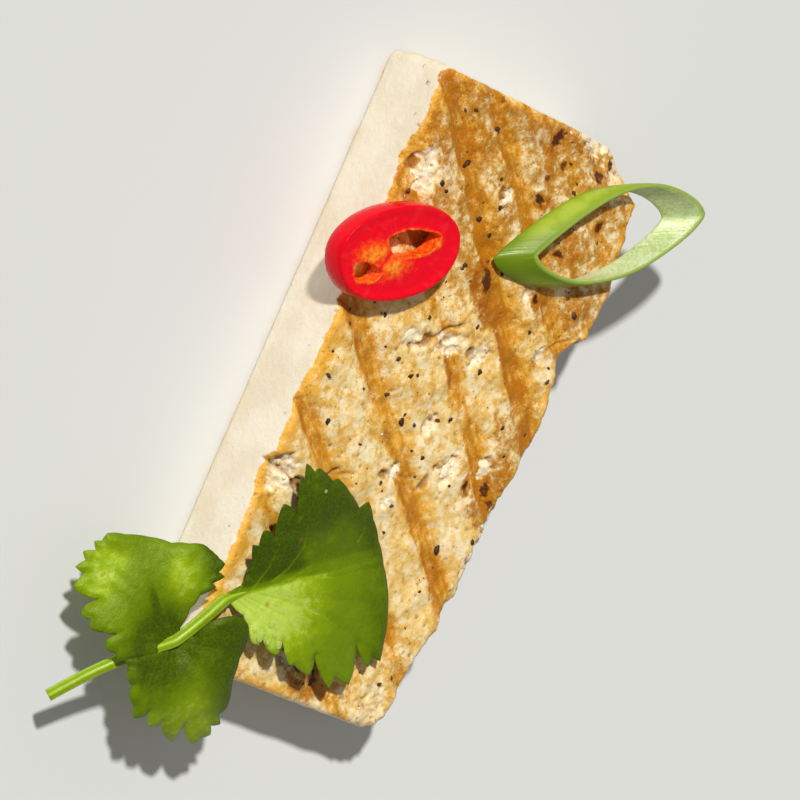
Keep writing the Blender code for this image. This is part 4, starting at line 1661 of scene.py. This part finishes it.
    def blade(self, slab: TofuSlab, leaf: Leaflet, finish: bpy.types.Material) -> bpy.types.Object:
        """Makes one leaflet.

        Args:
            slab: The slab it lies on.
            leaf: The leaflet.
            finish: Its material.

        Returns:
            The leaflet, as two skins joined round their margin.
        """
        n, spacing = self.noise, 0.30
        margin = leaf.margin()
        low, high = margin.min(axis=0), margin.max(axis=0)
        rows = np.arange(low[1], high[1], spacing * 0.87)
        grid = [(a + spacing / 2 * (i % 2), c) for i, c in enumerate(rows) for a in np.arange(low[0], high[0], spacing)]
        grid = np.array(grid)
        grid += 0.12 * spacing * np.random.default_rng(5).standard_normal(grid.shape)
        gap = np.min([np.hypot(*(grid - m).T) for m in margin], axis=0)
        grid = grid[gap > 0.7 * spacing]
        loose = [Vector(p) for p in np.concatenate([margin, grid])]
        count = len(margin)
        edges = [(i, (i + 1) % count) for i in range(count)]
        flat, _, faces, *_ = delaunay_2d_cdt(loose, edges, [], 1, 1e-7)
        flat = np.array([tuple(p) for p in flat])
        faces = np.array([tuple(f) for f in faces])
        used = np.unique(faces)
        renumber = np.full(len(flat), -1)
        renumber[used] = np.arange(len(used))
        flat, faces = flat[used], renumber[faces]

        border = np.min([np.hypot(*(flat - m).T) for m in margin], axis=0)
        vein, ridge = np.zeros(len(flat)), np.full(len(flat), 9.0)
        for number, path in enumerate(leaf.veins):
            for k, ((ax, ay), (bx, by)) in enumerate(zip(path, path[1:])):
                run = np.array((bx - ax, by - ay))
                where = np.clip(((flat - (ax, ay)) @ run) / (run @ run), 0, 1)
                distance = np.hypot(*(flat - (ax, ay) - where[:, None] * run).T)
                fade = 1 - (k + where) / (len(path) - 1)
                width = 0.10 + (0.26 if number == 0 else 0.14) * fade
                vein = np.maximum(vein, (0.35 + 0.65 * fade) * np.exp(-((distance / width) ** 2)))
                ridge = np.minimum(ridge, distance)
        quilted = 0.16 * (1 - np.exp(-((ridge / 1.1) ** 2))) * smooth(0.0, 1.5, border)
        crinkle = 0.10 * n.layered(stacked(flat[:, 0], flat[:, 1], leaf.axis), 2.6, 3)
        curl = -0.5 * smooth(1.6, 0.0, border) ** 2 * (0.6 + 0.6 * n.soft(stacked(flat[:, 0], flat[:, 1], 3.0), 7.0))
        middle = self.surface(slab, leaf, flat[:, 0] * MM, flat[:, 1] * MM)
        middle[:, 2] += MM * (quilted + crinkle + curl - 0.06 * vein)
        thick = self.thickness * (0.45 + 0.55 * smooth(0.0, 0.6, border)) + 0.00012 * vein
        upper, lower = middle.copy(), middle.copy()
        upper[:, 2] += thick / 2
        lower[:, 2] -= thick / 2
        total = len(flat)
        sides = {}
        for a, b, c in faces:
            for pair in ((a, b), (b, c), (c, a)):
                sides[pair] = sides.get(pair, 0) + 1
        rim = [(a, b) for a, b in sides if (b, a) not in sides]
        skins = faces.tolist() + (faces[:, ::-1] + total).tolist()
        skins += [(b, a, a + total, b + total) for a, b in rim]
        blade = new_mesh(f"coriander_leaflet_{leaf.name}", np.concatenate([upper, lower]), skins)
        along, across = flat[:, 0], flat[:, 1]
        marks = {
            "vein": vein if leaf.name == "terminal" else 0.45 * vein,
            "deep": self.deep(leaf, along, across),
            "bright": self.bright(leaf, along, across),
        }
        mark(blade, {name: np.concatenate([values, values]) for name, values in marks.items()})
        blade.data.materials.append(finish)
        return blade

    def deep(self, leaf: Leaflet, along: np.ndarray, across: np.ndarray) -> np.ndarray:
        """Gives where a leaflet is darker, mostly from painted shade and partly from a darker tone of its own.

        Args:
            leaf: The leaflet.
            along: Places along its axis, in millimetres.
            across: Places across it.

        Returns:
            How dark it is at each place, 0 to 1.
        """
        if leaf.name == "terminal":
            # Painted shade on the terminal leaflet's half that faces away from the lamp.
            half = smooth(0.6, 2.4, across) * (1 - 0.6 * smooth(12, 17, along) * smooth(11, 5, across))
            # Painted shadow along the fold above its midrib.
            crease = np.exp(-(((across - 1.4 - 0.09 * along) / 0.55) ** 2)) * smooth(1, 3, along) * smooth(16, 10, along)
            # It is also darker towards its tip.
            return np.clip(half + 0.8 * crease + 0.6 * smooth(24, 31, along), 0, 1)
        # Painted shade round the hub, where the stalk and the leaflets meet.
        hub = 1.1 * smooth(10.0, 1.5, np.hypot(along, across - (2.0 if leaf.name == "front" else -2.0)))
        if leaf.name == "front":
            # Painted shade in a fold along the front leaflet's midrib; it is also darker along one margin and a darker
            # tone all over.
            groove = smooth(0.3, 1.2, across) * smooth(3.0, 1.4, across) * smooth(15, 9, along)
            return np.clip(0.30 + hub + 0.5 * groove + 0.7 * smooth(-8, -12, across), 0, 1)
        # The end leaflet is a darker tone all over and darker towards one side.
        return np.clip(0.30 + hub + 0.6 * smooth(2, 9, across), 0, 1)

    def bright(self, leaf: Leaflet, along: np.ndarray, across: np.ndarray) -> np.ndarray:
        """Gives where a leaflet gets painted light: the terminal leaflet's half that faces the lamp, a painted sheen on
        the front leaflet, and the end leaflet's lighter tip.

        Args:
            leaf: The leaflet.
            along: Places along its axis, in millimetres.
            across: Places across it.

        Returns:
            How much painted light it has at each place, 0 to 1.
        """
        if leaf.name == "terminal":
            return smooth(0.6, -0.8, across) * smooth(25, 9, along) * (0.45 + 0.55 * smooth(-14, -7, across))
        if leaf.name == "end":
            return 0.5 * smooth(7, 13, along) * smooth(6, 1, across)
        blade = np.exp(-(((along - 19) / 5.5) ** 2 + ((across - 9.5) / 5.0) ** 2))
        shoulder = np.exp(-(((along - 10) / 5.5) ** 2 + ((across + 5) / 3.6) ** 2))
        return np.clip(0.75 * blade + 0.75 * shoulder, 0, 1)

    def stalk(self, slab: TofuSlab, finish: bpy.types.Material) -> bpy.types.Object:
        """Makes the stem, the petiole and the first stretch of the midrib.

        Args:
            slab: The slab it lies on.
            finish: Its material.

        Returns:
            The stalk.
        """
        run = np.linspace(self.stem_length, 0, 60)
        sideways = self.stem_bend * np.sin(math.pi * run / self.stem_length)
        turn = self.stem_turn
        x = self.junction[0] + run * math.cos(turn) + sideways * math.sin(turn)
        y = self.junction[1] + run * math.sin(turn) - sideways * math.cos(turn)
        path = [stacked(x, y, self.drape(slab, x, y) + self.rest + self.stem_radius)]
        radii = [np.full(len(run), self.stem_radius)]
        terminal = self.leaflets[0]
        base = self.surface(slab, terminal, np.array([-0.0012]), np.array([0.0]))[0]
        share = np.linspace(0, 1, 34)[1:]
        x = self.junction[0] + (base[0] - self.junction[0]) * share
        y = self.junction[1] + (base[1] - self.junction[1]) * share
        radius = self.stem_radius + (self.petiole_radius - self.stem_radius) * share
        low = self.drape(slab, x, y) + self.rest + radius
        path.append(stacked(x, y, low + (base[2] - low[-1]) * share**2))
        radii.append(radius)
        run = np.linspace(-0.0012, self.rib_length, 30)[1:]
        sunk = np.linspace(0, 1, 30)[1:] ** 0.8
        path.append(self.surface(slab, terminal, run, 0.0003 * sunk) - stacked(0 * run, 0.0, 0.0007 * sunk))
        fall = np.linspace(0, 1, 30)[1:] ** 0.5
        radii.append(self.petiole_radius + (self.rib_radius - self.petiole_radius) * fall)
        line, width = np.concatenate(path), np.concatenate(radii)
        for _ in range(6):
            line[1:-1] = 0.25 * line[:-2] + 0.5 * line[1:-1] + 0.25 * line[2:]
        return self.tube("coriander_stalk", line, width, finish)

    def tube(self, name: str, line: np.ndarray, width: np.ndarray, finish: bpy.types.Material) -> bpy.types.Object:
        """Makes a ribbed round stalk.

        Args:
            name: Its name.
            line: Rows of points along its middle.
            width: Its radius at each of them.
            finish: Its material.

        Returns:
            The stalk.
        """
        steps = 28
        angle = 2 * math.pi * np.arange(steps) / steps
        ahead = np.gradient(line, axis=0)
        ahead /= np.linalg.norm(ahead, axis=1, keepdims=True)
        side = np.cross(ahead, (0, 0, 1))
        side /= np.linalg.norm(side, axis=1, keepdims=True)
        over = np.cross(side, ahead)
        ribbed = 1 + 0.05 * np.cos(6 * angle)
        stripe = 0.5 + 0.5 * np.cos(6 * angle)
        rings = []
        for point, radius, across, upright in zip(line, width, side, over):
            ring = np.cos(angle)[:, None] * across + np.sin(angle)[:, None] * upright
            rings.append(point + radius * ribbed[:, None] * ring)
        points, faces = lofted(rings)
        stalk = new_mesh(name, points, faces)
        mark(stalk, {"stripe": np.tile(stripe, len(line))})
        stalk.data.materials.append(finish)
        return stalk

    def build(
        self, slab: TofuSlab, leaf_finish: bpy.types.Material, stem_finish: bpy.types.Material
    ) -> list[bpy.types.Object]:
        """Makes the sprig.

        Args:
            slab: The slab it lies on.
            leaf_finish: The leaflets' material.
            stem_finish: The stalk's material.

        Returns:
            Its pieces.
        """
        pieces = [self.blade(slab, leaf, leaf_finish) for leaf in self.leaflets]
        pieces.append(self.stalk(slab, stem_finish))
        return pieces


# ---------------------------------------------------------------- grains, crumbs and drops


@dataclass
class Scatter:
    """Small grains that lie on the slab, all in one mesh. Lengths in millimetres."""

    name: str
    places: tuple[tuple[float, float, float], ...]  # x, y and half width of those that are listed
    loose: int  # how many more are scattered
    sizes: Pair  # half widths of those
    squash: float
    lumpy: float
    seed: int
    divisions: int = 1

    def scattered(self, slab: TofuSlab) -> list[tuple[float, float, float]]:
        """Chooses places for the loose grains.

        Args:
            slab: The slab they lie on.

        Returns:
            Their x, y and half width.
        """
        rng = np.random.default_rng(self.seed)
        chosen = []
        while len(chosen) < self.loose:
            x, y = rng.uniform(-52, 52), rng.uniform(-24, 26)
            size = self.sizes[0] + (self.sizes[1] - self.sizes[0]) * rng.random() ** 2
            if y < float(slab.back(np.array(x * MM))) / MM - 1.5:
                chosen.append((x, y, size))
        return chosen

    def build(self, slab: TofuSlab, finish: bpy.types.Material) -> bpy.types.Object:
        """Makes the grains.

        Args:
            slab: The slab they lie on.
            finish: Their material.

        Returns:
            One mesh of them all.
        """
        rng = np.random.default_rng(self.seed + 1)
        shape, faces = ball(self.divisions)
        grains = [*self.places, *self.scattered(slab)]
        x, y = np.array([g[0] for g in grains]) * MM, np.array([g[1] for g in grains]) * MM
        level, _ = slab.top(x, y)
        points, all_faces, tones = [], [], []
        for i, (_, _, size) in enumerate(grains):
            bumps = Noise(self.seed + i).layered(shape, 1.1, 2)
            grain = shape * (1 + self.lumpy * bumps)[:, None]
            grain = grain * (1 + 0.45 * rng.uniform(-1, 1, 3)) * (1, 1, self.squash)
            tones.append(np.full(len(shape), rng.random() ** 1.5))
            turn = Matrix.Rotation(rng.uniform(0, 6.3), 3, "Z") @ Matrix.Rotation(rng.uniform(-0.5, 0.5), 3, "X")
            grain = grain @ np.array(turn).T * size * MM
            points.append(grain + (x[i], y[i], level[i] + 0.12 * size * MM))
            all_faces.append(faces + i * len(shape))
        made = new_mesh(self.name, np.concatenate(points), np.concatenate(all_faces))
        mark(made, {"tone": np.concatenate(tones)})
        made.data.materials.append(finish)
        return made


PEPPER = Scatter(
    "ground_pepper",
    (
        (-40.8, -12.4, 0.62),
        (-35.9, -16.3, 0.45),
        (-32.5, -21.5, 0.45),
        (-36.4, -2.4, 0.40),
        (-31.5, -1.7, 0.35),
        (-33.3, -5.0, 0.42),
        (-25.2, -4.3, 0.40),
        (-23.1, -1.6, 0.32),
        (-40.9, -4.6, 0.35),
        (-48.1, -9.8, 0.40),
        (-49.4, -16.0, 0.38),
        (-48.7, -17.5, 0.35),
        (-25.2, 22.5, 0.45),
        (-27.3, 19.9, 0.38),
        (-12.9, 23.3, 0.36),
        (-2.5, 18.1, 0.42),
        (-9.8, 8.5, 0.35),
        (-4.4, -5.3, 0.50),
        (-5.0, -4.0, 0.36),
        (-6.2, -9.0, 0.42),
        (-12.2, -15.5, 0.40),
        (-13.5, -18.9, 0.32),
        (-17.2, -19.8, 0.30),
        (-16.6, 3.8, 0.40),
        (20.9, 16.6, 0.72),
        (28.7, 16.3, 0.40),
        (18.8, 24.1, 0.38),
        (17.5, 22.8, 0.36),
        (0.6, 4.6, 0.50),
        (3.2, -2.5, 0.52),
        (1.9, -2.6, 0.36),
        (0.0, -7.7, 0.38),
        (-0.4, 6.9, 0.32),
        (7.4, 4.6, 0.34),
        (0.9, -21.7, 0.45),
        (7.9, -17.6, 0.45),
        (21.7, 3.8, 0.32),
        (45.9, 16.8, 0.40),
        (36.8, 0.2, 0.35),
        (35.0, -1.2, 0.30),
        (41.0, 7.2, 0.30),
        (-44.0, 11.5, 0.36),
    ),
    130,
    (0.09, 0.34),
    0.6,
    0.80,
    101,
    2,
)

CRUMBS = Scatter(
    "curd_crumbs",
    (
        (-38.2, -19.4, 0.34),
        (-35.2, -20.9, 0.28),
        (-36.3, -18.7, 0.22),
        (-37.7, -0.9, 0.22),
        (-13.8, 7.6, 0.30),
        (-11.4, 7.6, 0.24),
        (-12.4, 1.6, 0.30),
        (-11.0, -1.6, 0.26),
        (6.6, 11.9, 0.34),
        (9.2, 10.9, 0.30),
        (8.0, 12.3, 0.24),
        (2.4, 3.9, 0.24),
        (11.2, 1.6, 0.28),
        (16.2, 1.7, 0.26),
        (23.9, -7.6, 0.32),
        (22.6, -9.2, 0.24),
        (21.6, -14.2, 0.30),
        (19.6, -20.8, 0.34),
        (17.6, -22.2, 0.26),
        (28.5, -9.0, 0.24),
        (48.2, -4.6, 0.24),
    ),
    26,
    (0.10, 0.22),
    0.6,
    0.75,
    211,
    2,
)


@dataclass
class WaterDrops:
    """Drops that cling to the terminal leaflet. Lengths in millimetres, in the leaflet's own axes."""

    drops: tuple[tuple[float, float, float], ...] = (
        (8.0, -6.6, 0.75),
        (5.5, -8.3, 0.80),
        (8.5, -8.6, 0.60),
        (9.2, -10.6, 0.75),
        (7.1, -9.6, 0.45),
        (4.6, -6.8, 0.45),
        (6.6, -7.2, 0.30),
        (19.7, 14.3, 0.35),
    )

    def build(self, slab: TofuSlab, sprig: CorianderSprig, finish: bpy.types.Material) -> bpy.types.Object:
        """Makes the drops.

        Args:
            slab: The slab the sprig lies on.
            sprig: The sprig that carries them.
            finish: Their material.

        Returns:
            One mesh of them all.
        """
        shape, faces = ball(3)
        leaf = sprig.leaflets[0]
        points, all_faces = [], []
        # Painted glint: the low side of each drop away from the lamp is marked to be paler and more opaque.
        low_side = smooth(0.55, 0.95, shape @ (0.6, 0.55, 0.0)) * smooth(0.9, 0.2, shape[:, 2])
        for i, (along, across, size) in enumerate(self.drops):
            spot = sprig.surface(slab, leaf, np.array([along * MM]), np.array([across * MM]))[0]
            drop = shape * (1.0, 0.85, 0.55) * size * MM
            drop[:, 2] = np.maximum(drop[:, 2], -0.15 * size * MM)
            points.append(drop + spot + (0, 0, 0.0004))
            all_faces.append(faces + i * len(shape))
        made = new_mesh("water_drops", np.concatenate(points), np.concatenate(all_faces))
        mark(made, {"crown": np.tile(low_side, len(self.drops))})
        made.data.materials.append(finish)
        return made


# ---------------------------------------------------------------- the studio


@dataclass
class Studio:
    """The floor, the lights and the camera."""

    elevation: float = math.radians(50)
    roll: float = math.radians(113.5)
    distance: float = 0.9
    target: tuple[float, float, float] = (0.0, 0.001, 0.008)
    span: float = 0.136  # how much the view takes in at the target
    key_from: tuple[float, float, float] = (-0.5, -0.6, 0.8)
    key_strength: float = 3.3
    sky_strength: float = 0.25

    def build(self, finish: bpy.types.Material) -> None:
        """Makes the studio.

        Args:
            finish: The floor's material.
        """
        scene = bpy.context.scene
        scene.view_settings.view_transform = "Standard"
        scene.view_settings.look = "None"
        corners = [(x, y, 0.0) for x, y in ((-3, -3), (3, -3), (3, 3), (-3, 3))]
        floor = new_mesh("floor", np.array(corners), [(0, 1, 2, 3)])
        floor.data.materials.append(finish)
        self.camera()
        self.lamp("key", "SUN", self.key_from, self.key_strength, {"angle": math.radians(3)})
        world = bpy.data.worlds.new("studio")
        world.use_nodes = True
        sky = world.node_tree.nodes["Background"]
        sky.inputs["Color"].default_value = (1.0, 0.99, 0.97, 1.0)
        sky.inputs["Strength"].default_value = self.sky_strength
        scene.world = world

    def camera(self) -> None:
        """Sets up the camera."""
        e, r = self.elevation, self.roll
        back = Vector((0, -math.cos(e), math.sin(e)))
        right, up = Vector((1, 0, 0)), Vector((0, math.sin(e), math.cos(e)))
        across = right * math.cos(r) + up * math.sin(r)
        upward = -right * math.sin(r) + up * math.cos(r)
        lens = bpy.data.cameras.new("camera")
        lens.angle = 2 * math.atan(self.span / 2 / self.distance)
        lens.clip_start = 0.01
        camera = bpy.data.objects.new("camera", lens)
        bpy.context.scene.collection.objects.link(camera)
        place = Matrix((across, upward, back)).transposed().to_4x4()
        place.translation = Vector(self.target) + back * self.distance
        camera.matrix_world = place
        bpy.context.scene.camera = camera

    def lamp(self, name: str, kind: str, source: tuple, strength: float, settings: dict) -> None:
        """Adds a light that shines at the slab.

        Args:
            name: Its name.
            kind: Its type.
            source: Where it is, or which way it shines from.
            strength: Its energy.
            settings: Its other settings.
        """
        light = bpy.data.lights.new(name, kind)
        light.energy = strength
        for key, value in settings.items():
            setattr(light, key, value)
        thing = bpy.data.objects.new(name, light)
        bpy.context.scene.collection.objects.link(thing)
        thing.location = source
        thing.rotation_euler = Vector(source).to_track_quat("Z", "Y").to_euler()


def place_piece(piece: bpy.types.Object, slot: str, *nodes: str) -> None:
    """Ties a piece to the model.

    Args:
        piece: The piece.
        slot: Not used.
        nodes: The model's nodes it stands for.
    """
    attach(piece, "root")
    if nodes:
        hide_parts(*nodes)
    LOG.info("%s: %d faces", piece.name, len(piece.data.polygons))


def main() -> None:
    """Builds the studio and every piece, and logs each piece's face count."""
    logging.basicConfig(level=logging.INFO, format="%(message)s")
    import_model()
    Studio().build(FloorFinish().material())

    slab = TofuSlab()
    place_piece(slab.build(TofuFinish().material()), "grilled_tofu", "tofu_slab")
    place_piece(ChilliRing().build(slab, ChilliFinish().material()), "red_chilli", "chilli_ring")
    place_piece(OnionLoop().build(slab, OnionFinish().material()), "spring_onion", "spring_onion_loop")
    sprig = CorianderSprig()
    for piece in sprig.build(slab, LeafFinish().material(), StemFinish().material()):
        place_piece(piece, "coriander_leaf", "coriander_sprig")
    place_piece(PEPPER.build(slab, PepperFinish().material()), "grilled_tofu")
    place_piece(CRUMBS.build(slab, CrumbFinish().material()), "grilled_tofu")
    place_piece(WaterDrops().build(slab, sprig, WaterFinish().material()), "coriander_leaf")


if __name__ == "__main__":
    main()
